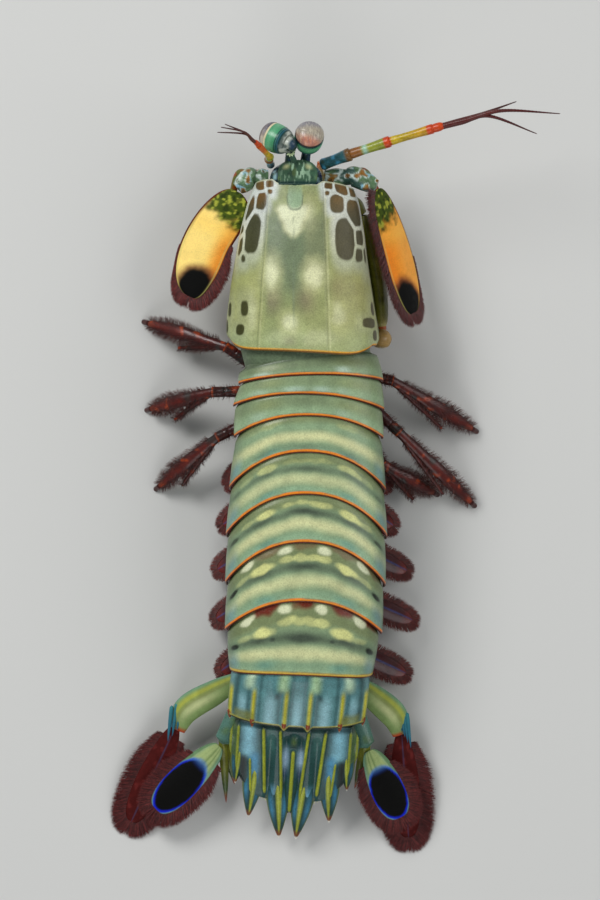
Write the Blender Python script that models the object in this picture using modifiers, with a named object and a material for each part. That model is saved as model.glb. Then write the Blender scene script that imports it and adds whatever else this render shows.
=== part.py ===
"""A peacock mantis shrimp as a still, life-size model, standing on a flat floor as seen from above.

The head points along +Y, the right side is +X and the floor is Z = 0. Sizes are in millimetres,
and each mesh is turned into metres when it is made. The origin is the middle of the whole model's
box, at floor level.
"""
import math
import random

import bmesh
import bpy
from mathutils import Matrix, Vector

MM = 0.001
GAP = 0.35
RIGHT, LEFT = 1, -1
SIDE_NAMES = {RIGHT: "R", LEFT: "L"}

# The whole model moves by this much, so that the origin is under the middle of its box.
TO_ORIGIN = Vector((-6.89, 6.50, 0.0))

# Body boundaries from head to tail, at the rear margin of each plate on the middle of the back:
# name, x, y, z of that point, half width, dome depth, pleuron depth, belly depth, sweep of the
# sides, and how much narrower the next plate is where it slides under this one
BOUNDARIES = (
    ("thorax_5", 1.6, 19.4, 26.6, 13.4, 7.0, 9.0, 13.4, 0.6, 0.94),
    ("thorax_6", 2.3, 16.0, 27.0, 15.2, 7.2, 9.6, 13.6, 1.4, 0.94),
    ("thorax_7", 1.9, 11.9, 26.8, 15.9, 7.6, 10.4, 13.4, 3.2, 0.94),
    ("thorax_8", 1.9, 7.3, 26.5, 15.7, 8.0, 11.4, 13.2, 5.0, 0.94),
    ("abdomen_1", 1.7, -0.4, 26.0, 16.5, 8.6, 13.6, 13.0, 8.4, 0.94),
    ("abdomen_2", 1.5, -9.3, 25.6, 17.0, 8.8, 14.4, 12.8, 9.4, 0.94),
    ("abdomen_3", 1.3, -19.5, 25.1, 16.9, 8.8, 14.4, 12.6, 9.6, 0.94),
    ("abdomen_4", 0.9, -32.0, 24.2, 16.6, 8.6, 14.0, 12.2, 7.6, 0.94),
    ("abdomen_5", 0.2, -47.7, 22.0, 15.1, 8.2, 12.4, 11.4, 1.4, 0.84),
    ("abdomen_6", -0.9, -59.0, 17.2, 14.6, 5.6, 7.4, 8.6, -0.6, 0.90),
)
SUPER = 0.86          # the dome's roundness: 1 is an ellipse, less is boxier
DOME_STEPS = 12
MARGIN_FLARE = 1.015  # each plate's rear margin stands this much proud
YAW_SHARE = 0.6       # how far each ring turns with the bend of the back

# Carapace: share of its length from front to rear, half width, dome depth and wing depth
CARAPACE_FRONT = Vector((0.1, 56.9, 24.4))
CARAPACE_REAR = Vector((-0.8, 20.4, 28.6))
CARAPACE_ROLL = math.radians(9.0)
CARAPACE_THICK = 0.8
CARAPACE = (
    (0.00, 10.2, 5.6, 6.6),
    (0.05, 10.9, 6.4, 8.0),
    (0.20, 12.2, 7.6, 11.0),
    (0.42, 13.9, 8.6, 13.2),
    (0.66, 15.4, 9.2, 14.6),
    (0.86, 16.2, 9.4, 14.6),
    (0.96, 16.1, 9.2, 12.8),
    (1.00, 15.7, 9.0, 10.6),
)
CARAPACE_STEPS = 12
FRONT_CORNER = 0.6    # how far back the carapace's front corners lie
REAR_CORNER = 2.6     # how far ahead of its rear margin the rear corners lie
CORE_INSET = 1.7      # the body under the carapace is this much smaller
CORE_CORNER = 2.2
STERNUM_DEPTH = 15.6

HEAD_CENTRE = Vector((-0.8, 58.3, 17.6))
# The rostral plate: distance behind the carapace's front margin, half width and half thickness
ROSTRAL_ROWS = ((-0.5, 4.15, 0.45), (-1.6, 4.1, 0.5), (-2.9, 3.45, 0.45), (-3.9, 2.1, 0.4),
                (-4.6, 0.7, 0.3))
EYE_RADIUS = 3.1
EYE_DOME = 0.72       # the cornea's height as a share of its radius

TELSON_BASE = Vector((-1.1, -59.9, 15.6))
TELSON_PITCH = math.radians(25.0)
TELSON_YAW = math.radians(-4.0)
# Distance behind the base, half width and thickness of the telson plate
TELSON = ((0.0, 13.0, 3.6), (2.5, 13.9, 3.8), (7.5, 13.4, 3.4), (11.5, 11.9, 2.9), (14.6, 9.8, 2.4),
          (16.8, 7.6, 1.9))
TELSON_HALF = 13.9
TELSON_ARCH = 1.6
# Where each tooth of the telson starts and ends, as (across, back), and its half width
TEETH = (((3.0, 13.0), (1.8, 26.6), 2.5), ((8.0, 10.0), (8.7, 22.4), 2.3), ((11.6, 6.0), (12.0, 14.6), 1.6))
# Each ridge of the telson: how far across, and where it starts and ends behind the base
RIDGES = ((0.0, 4.0, 16.5), (3.0, 1.5, 21.5), (6.7, 1.5, 15.5), (9.4, 9.0, 18.0), (12.2, 1.5, 10.5))
RIDGE_RADII = (0.3, 0.65, 0.6, 0.25)
# How far across the ridges of the last body ring lie
CARINAE = (2.6, 9.0, 13.4)
CARINA_RADII = (0.45, 0.8, 0.75, 0.2)

COLOURS = {
    "shell_green": ((0.36, 0.42, 0.24), 0.35),
    "shell_band": ((0.30, 0.38, 0.26), 0.35),
    "tail_teal": ((0.10, 0.30, 0.30), 0.35),
    "limb_red": ((0.16, 0.02, 0.02), 0.45),
    "limb_olive": ((0.20, 0.24, 0.06), 0.40),
    "scale_orange": ((0.90, 0.36, 0.06), 0.45),
    "eye_pearl": ((0.60, 0.48, 0.52), 0.15),
    "eye_green": ((0.05, 0.30, 0.20), 0.30),
    "club": ((0.70, 0.28, 0.14), 0.35),
    "feeler": ((0.40, 0.34, 0.05), 0.40),
}

model = None
materials = {}


def material(name):
    """The named finish, made once."""
    if name not in materials:
        colour, roughness = COLOURS[name]
        made = bpy.data.materials.new(name)
        made.use_nodes = True
        shader = made.node_tree.nodes["Principled BSDF"]
        shader.inputs["Base Color"].default_value = (*colour, 1.0)
        shader.inputs["Roughness"].default_value = roughness
        shader.inputs["Metallic"].default_value = 0.0
        materials[name] = made
    return materials[name]


def clear_scene():
    for obj in list(bpy.data.objects):
        bpy.data.objects.remove(obj, do_unlink=True)


def mesh_object(name, points, faces, finish):
    """An object from points in millimetres, with its faces turned outwards."""
    work = bmesh.new()
    verts = [work.verts.new((p + TO_ORIGIN) * MM) for p in points]
    for face in faces:
        work.faces.new([verts[i] for i in face])
    bmesh.ops.recalc_face_normals(work, faces=work.faces)
    mesh = bpy.data.meshes.new(name)
    work.to_mesh(mesh)
    work.free()
    mesh.materials.append(material(finish))
    obj = bpy.data.objects.new(name, mesh)
    model.objects.link(obj)
    return obj


def loft(name, rings, finish, centres=(None, None)):
    """A closed skin through rings of equal count. A ring of one point is a tip, and an open end is
    closed to its middle, or to the point given in centres."""
    points, starts = [], []
    for ring in rings:
        starts.append(len(points))
        points.extend(ring)
    faces = []
    for k in range(len(rings) - 1):
        a, b = rings[k], rings[k + 1]
        count = max(len(a), len(b))
        for i in range(count):
            j = (i + 1) % count
            corner = [starts[k] + i % len(a), starts[k] + j % len(a),
                      starts[k + 1] + j % len(b), starts[k + 1] + i % len(b)]
            face = list(dict.fromkeys(corner))
            if len(face) == 4:
                faces.append([face[0], face[1], face[2]])
                faces.append([face[0], face[2], face[3]])
            else:
                faces.append(face)
    for end, ring, start in ((0, rings[0], starts[0]), (1, rings[-1], starts[-1])):
        if len(ring) == 1:
            continue
        middle = centres[end]
        if middle is None:
            middle = sum(ring, Vector()) / len(ring)
        points.append(middle)
        for i in range(len(ring)):
            faces.append([start + i, start + (i + 1) % len(ring), len(points) - 1])
    return mesh_object(name, points, faces, finish)


def directions(path):
    """The unit direction of a path at each of its points."""
    found = []
    for i in range(len(path)):
        ahead = path[min(i + 1, len(path) - 1)] - path[max(i - 1, 0)]
        found.append(ahead.normalized())
    return found


def tube(name, path, sizes, finish, sides=8, up=Vector((0, 0, 1)), turn=0.0):
    """A limb or feeler along path. Each size is a radius, or (across, along up) for a flattened one.
    The section is carried along the path without a twist."""
    rings = []
    ways = directions(path)
    above = up if abs(ways[0].dot(up)) < 0.9 else Vector((0, 1, 0))
    for point, ahead, size in zip(path, ways, sizes):
        wide, tall = size if isinstance(size, tuple) else (size, size)
        across = ahead.cross(above).normalized()
        above = across.cross(ahead).normalized()
        ring = []
        for k in range(sides):
            angle = 2 * math.pi * (k + turn) / sides
            ring.append(point + across * wide * math.cos(angle) + above * tall * math.sin(angle))
        rings.append(ring)
    return loft(name, rings, finish)


def curve_points(stations, count):
    """Points on a smooth curve (Catmull-Rom) through the stations, evenly spread over its spans."""
    ends = [stations[0] * 2 - stations[1], *stations, stations[-1] * 2 - stations[-2]]
    spans = len(stations) - 1
    found = []
    for k in range(count):
        place = k / (count - 1) * spans
        i = min(int(place), spans - 1)
        t = place - i
        a, b, c, d = ends[i:i + 4]
        found.append(0.5 * (2 * b + (c - a) * t + (2 * a - 5 * b + 4 * c - d) * t * t
                            + (3 * b - a - 3 * c + d) * t ** 3))
    return found


def tapering(start, end, count, power=1.0):
    """Sizes that fall from start to end."""
    return [start + (end - start) * (k / (count - 1)) ** power for k in range(count)]


def fuse(name, base, pieces):
    """Joins the pieces to base with one union, and keeps the largest closed surface."""
    others = bpy.data.collections.new(name + "_pieces")
    bpy.context.scene.collection.children.link(others)
    for piece in pieces:
        model.objects.unlink(piece)
        others.objects.link(piece)
    union = base.modifiers.new("union", "BOOLEAN")
    union.operation = "UNION"
    union.operand_type = "COLLECTION"
    union.collection = others
    union.solver = "MANIFOLD"
    graph = bpy.context.evaluated_depsgraph_get()
    joined = bpy.data.meshes.new_from_object(base.evaluated_get(graph))
    base.modifiers.clear()
    base.data = joined
    base.name = name
    for piece in list(others.objects):
        bpy.data.objects.remove(piece, do_unlink=True)
    bpy.data.collections.remove(others)
    keep_largest(base)
    return base


def keep_largest(obj):
    """Keeps the closed surface that holds most, which fills sealed hollows and drops loose scraps."""
    work = bmesh.new()
    work.from_mesh(obj.data)
    bmesh.ops.triangulate(work, faces=work.faces)
    left, groups = set(work.faces), []
    while left:
        stack, group = [left.pop()], []
        while stack:
            face = stack.pop()
            group.append(face)
            for edge in face.edges:
                for other in edge.link_faces:
                    if other in left:
                        left.remove(other)
                        stack.append(other)
        groups.append(group)

    def held(group):
        return sum(f.verts[0].co.dot(f.verts[1].co.cross(f.verts[2].co)) for f in group)

    groups.sort(key=held)
    for group in groups[:-1]:
        bmesh.ops.delete(work, geom=group, context="FACES")
    work.to_mesh(obj.data)
    work.free()


def rest_on_floor(obj):
    """Presses what reaches the floor flat against it."""
    for vert in obj.data.vertices:
        vert.co.z = max(vert.co.z, 0.0)


class Frame:
    """A place on the body: a point on the back, with the directions right, ahead and up there."""

    def __init__(self, point, ahead, roll=0.0):
        self.point = point
        self.ahead = ahead.normalized()
        right = self.ahead.cross(Vector((0, 0, 1))).normalized()
        turn = Matrix.Rotation(-roll, 3, self.ahead)
        self.right = turn @ right
        self.up = self.right.cross(self.ahead).normalized()

    def at(self, across, depth, back=0.0):
        return self.point + self.right * across - self.up * depth - self.ahead * back


def between(a, b, share):
    return a + (b - a) * share


class Boundary:
    """The rear margin of one plate: its frame and the sizes of its section."""

    def __init__(self, frame, sizes):
        self.frame = frame
        self.sizes = sizes
        self.half, self.dome, self.pleuron, self.belly, self.sweep, self.neck = sizes

    def mixed(self, other, share):
        frame = Frame(between(self.frame.point, other.frame.point, share),
                      between(self.frame.ahead, other.frame.ahead, share))
        return Boundary(frame, [between(a, b, share) for a, b in zip(self.sizes, other.sizes)])

    def swept(self, across, depth):
        """How far behind the middle of the back the margin lies at this place of the section."""
        side = min(abs(across) / self.half, 1.1) ** 2.2
        return self.sweep * (0.8 * side + 0.3 * depth / self.pleuron)

    def outline(self, scale):
        """The section as (across, depth) pairs: over the dome, down a pleuron and under the belly."""
        half, dome = self.half, self.dome
        found = []
        for k in range(DOME_STEPS + 1):
            angle = math.pi * (k / DOME_STEPS - 0.5)
            sine, cosine = math.sin(angle), max(math.cos(angle), 0.0)
            found.append((half * math.copysign(abs(sine) ** SUPER, sine),
                          dome * (1 - cosine ** SUPER)))
        right = [(half * 0.99, self.pleuron), (half * 0.99 - 1.6, self.pleuron),
                 (half * 0.70, self.belly - 0.6), (half * 0.3, self.belly)]
        found += right + [(-across, depth) for across, depth in reversed(right)]
        middle = self.dome * 0.8
        return [(across * scale, middle + (depth - middle) * scale) for across, depth in found]

    def ring(self, scale=1.0, back=0.0):
        return [self.frame.at(across, depth, self.swept(across, depth) + back)
                for across, depth in self.outline(scale)]

    def middle(self, back=0.0):
        depth = self.belly * 0.22
        return self.frame.at(0, depth, self.swept(0, depth) + back)

    def under(self, across, back=0.0, gap=GAP):
        """A point just below the belly, where a limb meets it."""
        slope = 0.6 * max(0.0, abs(across) / self.half - 0.3) / 0.4
        return self.frame.at(across, self.belly - slope + gap, back + self.swept(across, self.belly))


def body_boundaries():
    """All the boundaries by name, in order, each frame looking along the line of the back."""
    points = [Vector(row[1:4]) for row in BOUNDARIES]
    found = {}
    for i, row in enumerate(BOUNDARIES):
        ahead = points[max(i - 1, 0)] - points[min(i + 1, len(points) - 1)]
        ahead.x *= YAW_SHARE
        found[row[0]] = Boundary(Frame(points[i], ahead), row[4:])
    return found


def ring_middle(edges, name, share=0.55):
    """The section part of the way along the named ring, which carries its limbs."""
    names = list(edges)
    front = names[names.index(name) - 1]
    return edges[front].mixed(edges[name], share)


def segment(name, front, rear, finish):
    """One body ring between two boundaries, narrower at the front where it slides under its neighbour."""
    rings = [front.ring(front.neck, GAP)]
    for share, scale in ((0.2, 0.985), (0.62, 1.0), (1.0, MARGIN_FLARE)):
        rings.append(front.mixed(rear, share).ring(scale))
    rings.append(rear.ring(rear.neck))
    return loft(name, rings, finish, (front.middle(GAP), rear.middle()))


def carapace_frame(share):
    ahead = CARAPACE_FRONT - CARAPACE_REAR
    crown = 0.9 * math.sin(math.pi * share)
    point = between(CARAPACE_FRONT, CARAPACE_REAR, share) + Vector((0, 0, crown))
    return Frame(point, ahead, CARAPACE_ROLL)


def dome_line(half, dome, wing):
    """(across, depth) pairs from the left wing's edge over the top to the right one's."""
    found = [(-half * 0.97, wing)]
    for k in range(CARAPACE_STEPS + 1):
        angle = math.pi * (k / CARAPACE_STEPS - 0.5)
        sine, cosine = math.sin(angle), max(math.cos(angle), 0.0)
        found.append((half * math.copysign(abs(sine) ** SUPER, sine), dome * (1 - cosine ** SUPER)))
    found.append((half * 0.97, wing))
    return found


def carapace_sweep(share, across, half):
    """How far back a point lies: the front corners run back a little, and the rear ones are round."""
    wide = min(abs(across) / (0.97 * half), 1.0)
    front = FRONT_CORNER * (1 - share) ** 3 * wide ** 2
    rear = REAR_CORNER * (max(share - 0.8, 0.0) / 0.2) ** 1.5 * wide ** 8
    return front - rear


def make_carapace():
    """The big shield over the head and the front of the body, open below and behind."""
    points, faces, rows = [], [], []
    for share, half, dome, wing in CARAPACE:
        frame = carapace_frame(share)
        rows.append([frame.at(across, depth, carapace_sweep(share, across, half))
                     for across, depth in dome_line(half, dome, wing)])
    width = len(rows[0])
    for row in rows:
        points.extend(row)
    for k in range(len(rows) - 1):
        for i in range(width - 1):
            a = k * width + i
            faces.append([a, a + 1, a + width + 1, a + width])
    shell = mesh_object("carapace", points, faces, "shell_green")
    top = shell.data.polygons[width // 2]
    solid = shell.modifiers.new("thickness", "SOLIDIFY")
    solid.thickness = CARAPACE_THICK * MM
    solid.offset = -1.0 if top.normal.z > 0 else 1.0
    return shell


def carapace_core(share, half, dome):
    """The body's section under the carapace, clear of the inner side of the shell."""
    depth = STERNUM_DEPTH - 4.0 * (1 - share) ** 2
    frame = carapace_frame(share)
    frame.point = frame.at(0, CORE_INSET)
    sizes = (half - CORE_INSET, dome - CORE_INSET, dome + 0.4, depth - CORE_INSET,
             CORE_CORNER * (1 - share) ** 3, 1.0)
    return Boundary(frame, sizes)


def make_thorax_front(rear):
    """The body under the carapace, from the mouth to the strip of the fifth thoracic ring."""
    cores = [carapace_core(share, half, dome) for share, half, dome, _ in CARAPACE[1:-2]]
    rings = [core.ring() for core in cores] + [rear.ring(), rear.ring(rear.neck)]
    return loft("thorax_front", rings, "shell_green", (None, rear.middle())), cores


def make_head():
    """The short head block that carries the eyes and both pairs of feelers."""
    path = [HEAD_CENTRE + Vector((0, y, z)) for y, z in ((-2.6, 0.4), (-1.0, 0.2), (1.2, 0.0), (2.8, -0.2))]
    sizes = [(4.8, 3.6), (5.6, 4.4), (5.0, 4.2), (2.8, 2.6)]
    block = tube("head", path, sizes, "eye_green", 12)
    mouth = tube("mouth", [HEAD_CENTRE + Vector((0, -1.5, -2.0)), HEAD_CENTRE + Vector((0, -1.2, -6.0)),
                           HEAD_CENTRE + Vector((0, -1.6, -8.4))],
                 [(3.4, 2.2), (3.0, 1.9), (1.6, 1.0)], "eye_green", 8, Vector((0, 1, 0)))
    return fuse("head", block, [mouth])


def make_rostral_plate():
    """A rounded triangular plate hinged on the front of the carapace, over the eyestalks' roots."""
    frame = carapace_frame(0.0)
    path, sizes = [], []
    for back, half, thick in ROSTRAL_ROWS:
        path.append(frame.at(-0.75, 0.5 - 0.08 * back, back))
        sizes.append((half, thick))
    return tube("rostral_plate", path, sizes, "eye_green", 10, frame.up)


EYES = {
    RIGHT: dict(root=Vector((1.0, 60.7, 21.1)), seat=Vector((2.0, 66.4, 27.0)),
                axis=Vector((0.10, 0.45, 0.89)).normalized()),
    LEFT: dict(root=Vector((-2.2, 60.9, 21.0)), seat=Vector((-6.3, 66.5, 25.2)),
               axis=Vector((-0.88, 0.40, -0.24)).normalized()),
}


def round_ring(middle, axis, radius, sides):
    """Points on a circle square to axis."""
    across = axis.cross(Vector((0, 1, 0.2))).normalized()
    above = across.cross(axis)
    angles = [2 * math.pi * k / sides for k in range(sides)]
    return [middle + (across * math.cos(a) + above * math.sin(a)) * radius for a in angles]


def make_eye(side):
    """An egg-shaped cup on a short stalk, and the domed cornea that it carries."""
    eye = EYES[side]
    root, seat, axis = eye["root"], eye["seat"], eye["axis"]
    tag = SIDE_NAMES[side]
    low = seat - axis * EYE_RADIUS * 1.6
    outward = (low - root).normalized()
    rings = [round_ring(root, outward, 1.1, 12),
             round_ring(between(root, low, 0.6), (outward + axis).normalized(), 1.0, 12)]
    for back, radius in ((1.6, 1.3), (1.38, 2.1), (1.0, 2.8), (0.5, 3.1), (0.0, EYE_RADIUS)):
        rings.append(round_ring(seat - axis * EYE_RADIUS * back, axis, radius, 12))
    stalk = loft("eyestalk_" + tag, rings, "eye_green")
    base = seat + axis * GAP
    rings = []
    for k in range(5):
        angle = math.pi / 2 * k / 5
        rings.append(round_ring(base + axis * math.sin(angle) * EYE_RADIUS * EYE_DOME, axis,
                                EYE_RADIUS * math.cos(angle), 14))
    rings.append([base + axis * EYE_RADIUS * EYE_DOME])
    cornea = loft("eye_" + tag, rings, "eye_pearl")
    return stalk, cornea


ANTENNULES = {
    RIGHT: dict(joints=(Vector((4.6, 60.6, 18.0)), Vector((10.6, 62.8, 19.4)), Vector((18.9, 65.4, 21.4)),
                        Vector((28.0, 68.0, 23.4))),
                ends=(Vector((55.0, 71.0, 27.0)), Vector((50.2, 66.9, 24.0)), Vector((46.0, 74.0, 20.0)))),
    LEFT: dict(joints=(Vector((-6.4, 60.6, 18.0)), Vector((-7.2, 61.8, 23.0)),
                       Vector((-7.4, 61.9, 30.0)), Vector((-9.2, 64.0, 36.5))),
               ends=(Vector((-16.8, 68.8, 50.0)), Vector((-17.8, 66.8, 47.0)),
                     Vector((-15.2, 70.6, 48.5)))),
}
JOINT_RADII = (1.35, 1.15, 1.0)
WHIP_RADII = (0.6, 0.25)


def make_antennule(side):
    """Three slender joints and the three whips that they carry."""
    pose = ANTENNULES[side]
    tag = SIDE_NAMES[side]
    joints = pose["joints"]
    pieces = []
    for k in range(3):
        a, b = joints[k], joints[k + 1]
        thick = JOINT_RADII[k]
        path = [between(a, b, s) for s in (-0.03, 0.08, 0.86, 1.04)]
        pieces.append(tube("joint", path, [thick * 0.75, thick, thick * 0.92, thick * 1.05], "feeler", 8))
    hand = joints[3]
    ahead = (joints[3] - joints[2]).normalized()
    for end in pose["ends"]:
        reach = (end - hand).length
        middle = hand + ahead * reach * 0.45 + (end - hand) * 0.12
        path = curve_points([hand - ahead * 0.8, between(hand, middle, 0.5), middle, end], 7)
        pieces.append(tube("whip", path, tapering(*WHIP_RADII, 7), "limb_red", 4))
    return fuse("antennule_" + tag, pieces[0], pieces[1:])


SCALES = {
    RIGHT: dict(base=Vector((16.6, 55.6, 18.4)), tip=Vector((24.0, 29.0, 15.0)), tilt=54.0, bow=1.2),
    LEFT: dict(base=Vector((-13.6, 55.2, 17.4)), tip=Vector((-23.4, 32.6, 13.4)), tilt=14.0, bow=1.6),
}
SCALE_HALF = 5.6
SCALE_THICK = 0.55
VANE_THICK = 0.5
VANE_WIDTH = 2.3


class Paddle:
    """A flat oval blade. Its outline is a formula of the angle from its base (0) to its tip (180)."""

    FULLNESS = 0.75

    def __init__(self, base, tip, half, thick, tilt, side, arch=0.3, bow=0.0):
        """A tilt lowers the outer edge, and a bow bends the middle line outwards."""
        self.base = base
        self.length = (tip - base).length
        self.along = (tip - base).normalized()
        level = self.along.cross(Vector((0, 0, 1))).normalized() * -side
        self.across = Matrix.Rotation(math.radians(side * -tilt), 3, self.along) @ level
        self.normal = self.across.cross(self.along).normalized()
        if self.normal.z < 0:
            self.normal = -self.normal
        self.half, self.thick, self.arch, self.bow = half, thick, arch, bow

    def width(self, angle):
        """Half the width at this angle: fuller towards the tip than an ellipse is."""
        return self.half * math.sin(angle) ** self.FULLNESS * (0.80 + 0.22 * math.sin(angle - 0.9))

    def at(self, angle, share, lift=0.0):
        """A point on the blade: share runs from -1 on one edge to 1 on the other."""
        along = self.length * (1 - math.cos(angle)) / 2
        across = self.width(angle) * share
        sag = self.arch * (across / self.half) ** 2
        across += self.bow * math.sin(angle)
        return self.base + self.along * along + self.across * across + self.normal * (lift - sag)

    def blade(self, name, finish, start=24, steps=7, sides=5):
        """The closed blade: a top and a bottom row of points at each station, alike in both."""
        rings = []
        for k in range(steps + 1):
            angle = math.radians(start + (176 - start) * k / steps)
            lift = self.thick / 2 * (0.45 if k == steps else 1.0)
            shares = [-1 + 2 * i / (sides - 1) for i in range(sides)]
            top = [self.at(angle, share, lift) for share in shares]
            low = [self.at(angle, share, -lift) for share in shares]
            rings.append(top + low[::-1])
        return loft(name, rings, finish)

    def outward(self, angle, share):
        """The direction square to the rim there, in the plane of the blade."""
        step = 0.02
        run = self.at(angle + step, share) - self.at(angle - step, share)
        out = run.cross(self.normal).normalized()
        middle = self.at(angle, 0.0)
        return out if out.dot(self.at(angle, share) - middle) > 0 else -out

    def fringe(self, count, reach, finish, first, seed):
        """Flat bristle vanes set close round the rim, leaning towards the tip. first holds the angle
        where they begin on the inner and on the outer edge."""
        draw = random.Random(seed)
        vanes = []
        for edge, begin in zip((-1, 1), first):
            for k in range(count):
                angle = math.radians(begin + (174 - begin) * (k + 0.5) / count)
                out = self.outward(angle, edge)
                lean = (out + self.along * 0.5).normalized()
                root = self.at(angle, edge * 0.88, draw.uniform(-0.05, 0.05))
                tip = root + lean * (reach * draw.uniform(0.9, 1.08) + 0.6)
                tip.z = max(tip.z, VANE_THICK / 2)
                thick = VANE_THICK * draw.uniform(0.9, 1.1)
                vanes.append(vane(root, tip, self.normal, VANE_WIDTH, thick, finish))
        return vanes


def vane(root, tip, normal, width, thick, finish):
    """One flat bristle vane that tapers to its tip."""
    across = (tip - root).cross(normal).normalized()
    rings = []
    for share, wide, deep in ((0.0, 1.0, 1.0), (0.6, 0.86, 0.9)):
        middle = between(root, tip, share)
        w, t = across * width / 2 * wide, normal * thick / 2 * deep
        rings.append([middle + w + t, middle + w - t, middle - w - t, middle - w + t])
    rings.append([tip])
    return loft("vane", rings, finish)


def make_antennal_scale(side):
    pose = SCALES[side]
    paddle = Paddle(pose["base"], pose["tip"], SCALE_HALF, SCALE_THICK, pose["tilt"], side, arch=0.5,
                    bow=pose["bow"])
    blade = paddle.blade("antennal_scale", "scale_orange", 16, 9, 5)
    fringe = paddle.fringe(8, 2.4, "limb_red", (70, 112), 11 + side)
    return fuse("antennal_scale_" + SIDE_NAMES[side], blade, fringe)


def make_antenna(side):
    """The stout base of the second feeler, which carries the scale, and its single whip laid back."""
    tag = SIDE_NAMES[side]
    base = SCALES[side]["base"]
    root = HEAD_CENTRE + Vector((side * 6.0, -0.6, -0.6))
    elbow = between(root, base, 0.55) + Vector((0, 1.6, 0.2))
    end = base + (root - base).normalized() * 0.25 + Vector((0, 0.3, 0.1))
    path = [root, between(root, elbow, 0.4), between(root, elbow, 0.75), elbow, end]
    stem = tube("antenna", path, [1.9, 2.2, 1.8, 2.3, 1.5], "shell_band", 8)
    low = elbow + Vector((0, 0.4, -1.4))
    under = [between(base, SCALES[side]["tip"], share) - Vector((0, 0, drop))
             for share, drop in ((0.12, 5.8), (0.35, 5.6), (0.62, 5.6), (0.9, 6.0))]
    arm = [low, low + Vector((side * 3.0, 2.2, -2.2)), under[0] + Vector((0, 1.2, 0))]
    joint = tube("arm", arm, [1.1, 1.0, 0.75], "feeler", 6)
    whip = tube("whip", curve_points(under, 6), tapering(*WHIP_RADII, 6), "limb_red", 5)
    return fuse("antenna_" + tag, stem, [joint, whip])


CLAWS = {
    RIGHT: dict(hip=Vector((11.0, 26.0, 7.9)), wrist=Vector((10.2, 49.4, 10.2)), out=5.4),
    LEFT: dict(hip=Vector((-8.4, 26.0, 6.8)), wrist=Vector((-6.4, 49.0, 8.2)), out=-4.0),
}


def make_claw(side, cores):
    """The folded striking limb: thigh, wrist and hand, and the club on its finger."""
    pose = CLAWS[side]
    tag = SIDE_NAMES[side]
    hip, wrist = pose["hip"], pose["wrist"]
    up = Vector((0, 0, 1))
    path = [between(hip, wrist, s) for s in (-0.04, 0.04, 0.35, 0.75, 0.94, 1.0)]
    sizes = [(1.2, 1.8), (1.9, 2.6), (2.4, 3.5), (2.1, 3.1), (1.6, 2.4), (1.0, 1.8)]
    thigh = tube("thigh", path, sizes, "limb_olive", 10, up)
    socket = cores[-1].under(hip.x, -3.0, GAP + 0.1)
    coxa = tube("coxa", [socket, between(socket, hip, 0.5), hip + Vector((0, 1.4, 0.6))],
                [(1.7, 2.2), (1.5, 2.0), (1.2, 1.6)], "limb_olive", 8, Vector((0, 1, 0)))
    merus = fuse("merus_" + tag, thigh, [coxa])
    aside = Vector((pose["out"], 0, 0))
    knuckle = wrist + Vector((pose["out"] * 0.35, 3.6, -0.6))
    heel = hip + aside + Vector((0, 0.5, -0.8))
    start = wrist + aside + Vector((0, -0.4, -0.6))
    carpus = tube("carpus", [wrist + Vector((0, 0.9, 0)), knuckle, between(knuckle, start, 0.7)],
                  [(1.5, 2.0), (1.9, 2.4), (1.5, 2.1)], "limb_olive", 8, up)
    path = [between(start, heel, s) for s in (-0.06, 0.06, 0.4, 0.8, 1.0)]
    sizes = [(1.2, 1.8), (1.6, 2.5), (1.7, 2.8), (1.4, 2.4), (1.0, 1.7)]
    hand = tube("hand", path, sizes, "limb_olive", 10, up)
    hand = fuse("propodus_" + tag, hand, [carpus])
    ball = heel + Vector((0, -2.7, -0.7))
    path = [ball + Vector((0, -2.0, 0)), ball + Vector((0, -1.3, 0)), ball, ball + Vector((0, 1.0, -0.9))]
    club = tube("club", path, [0.7, 1.8, 2.2, 1.5], "club", 10, up)
    low = ball + Vector((0, 0.4, -1.4))
    finger_path = curve_points([low, heel + Vector((0, 2.0, -3.4)), heel + Vector((0, 9.0, -3.9)),
                                heel + Vector((0, 15.0, -3.9))], 6)
    finger = tube("finger", finger_path, [1.1, 1.0, 0.95, 0.8, 0.6, 0.3], "club", 6)
    club = fuse("dactyl_" + tag, club, [finger])
    return merus, hand, club


# Small limbs under the mouth: which station of the body carries each, and how far ahead its root is
MAXILLIPEDS = (("maxilliped_3", 1, -4.6), ("maxilliped_4", 2, -4.4), ("maxilliped_5", 3, -4.6))


def make_maxilliped(name, station, back, side, cores):
    """A small folded limb under the mouth, with a round hand and a hooked finger."""
    core = cores[station]
    root = core.under(side * 2.5 - 0.6, back, GAP - 0.1)
    elbow = root + Vector((side * 1.6, 1.2, -4.6))
    wrist = elbow + Vector((-side * 0.6, 4.6, -1.4))
    hand = wrist + Vector((-side * 1.0, 2.8, 0.3))
    path = [root, between(root, elbow, 0.6), elbow, between(elbow, wrist, 0.5), wrist]
    arm = tube(name, path, [0.85, 0.8, 0.85, 0.75, 0.6], "limb_olive", 6, Vector((0, 1, 0.3)))
    path = [wrist + Vector((0, -0.6, 0)), between(wrist, hand, 0.6), hand + Vector((0, 0.6, 0.2))]
    palm = tube("palm", path, [(0.5, 0.8), (0.8, 1.7), (0.4, 0.8)], "limb_olive", 8)
    return fuse(name + "_" + SIDE_NAMES[side], arm, [palm])


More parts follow.
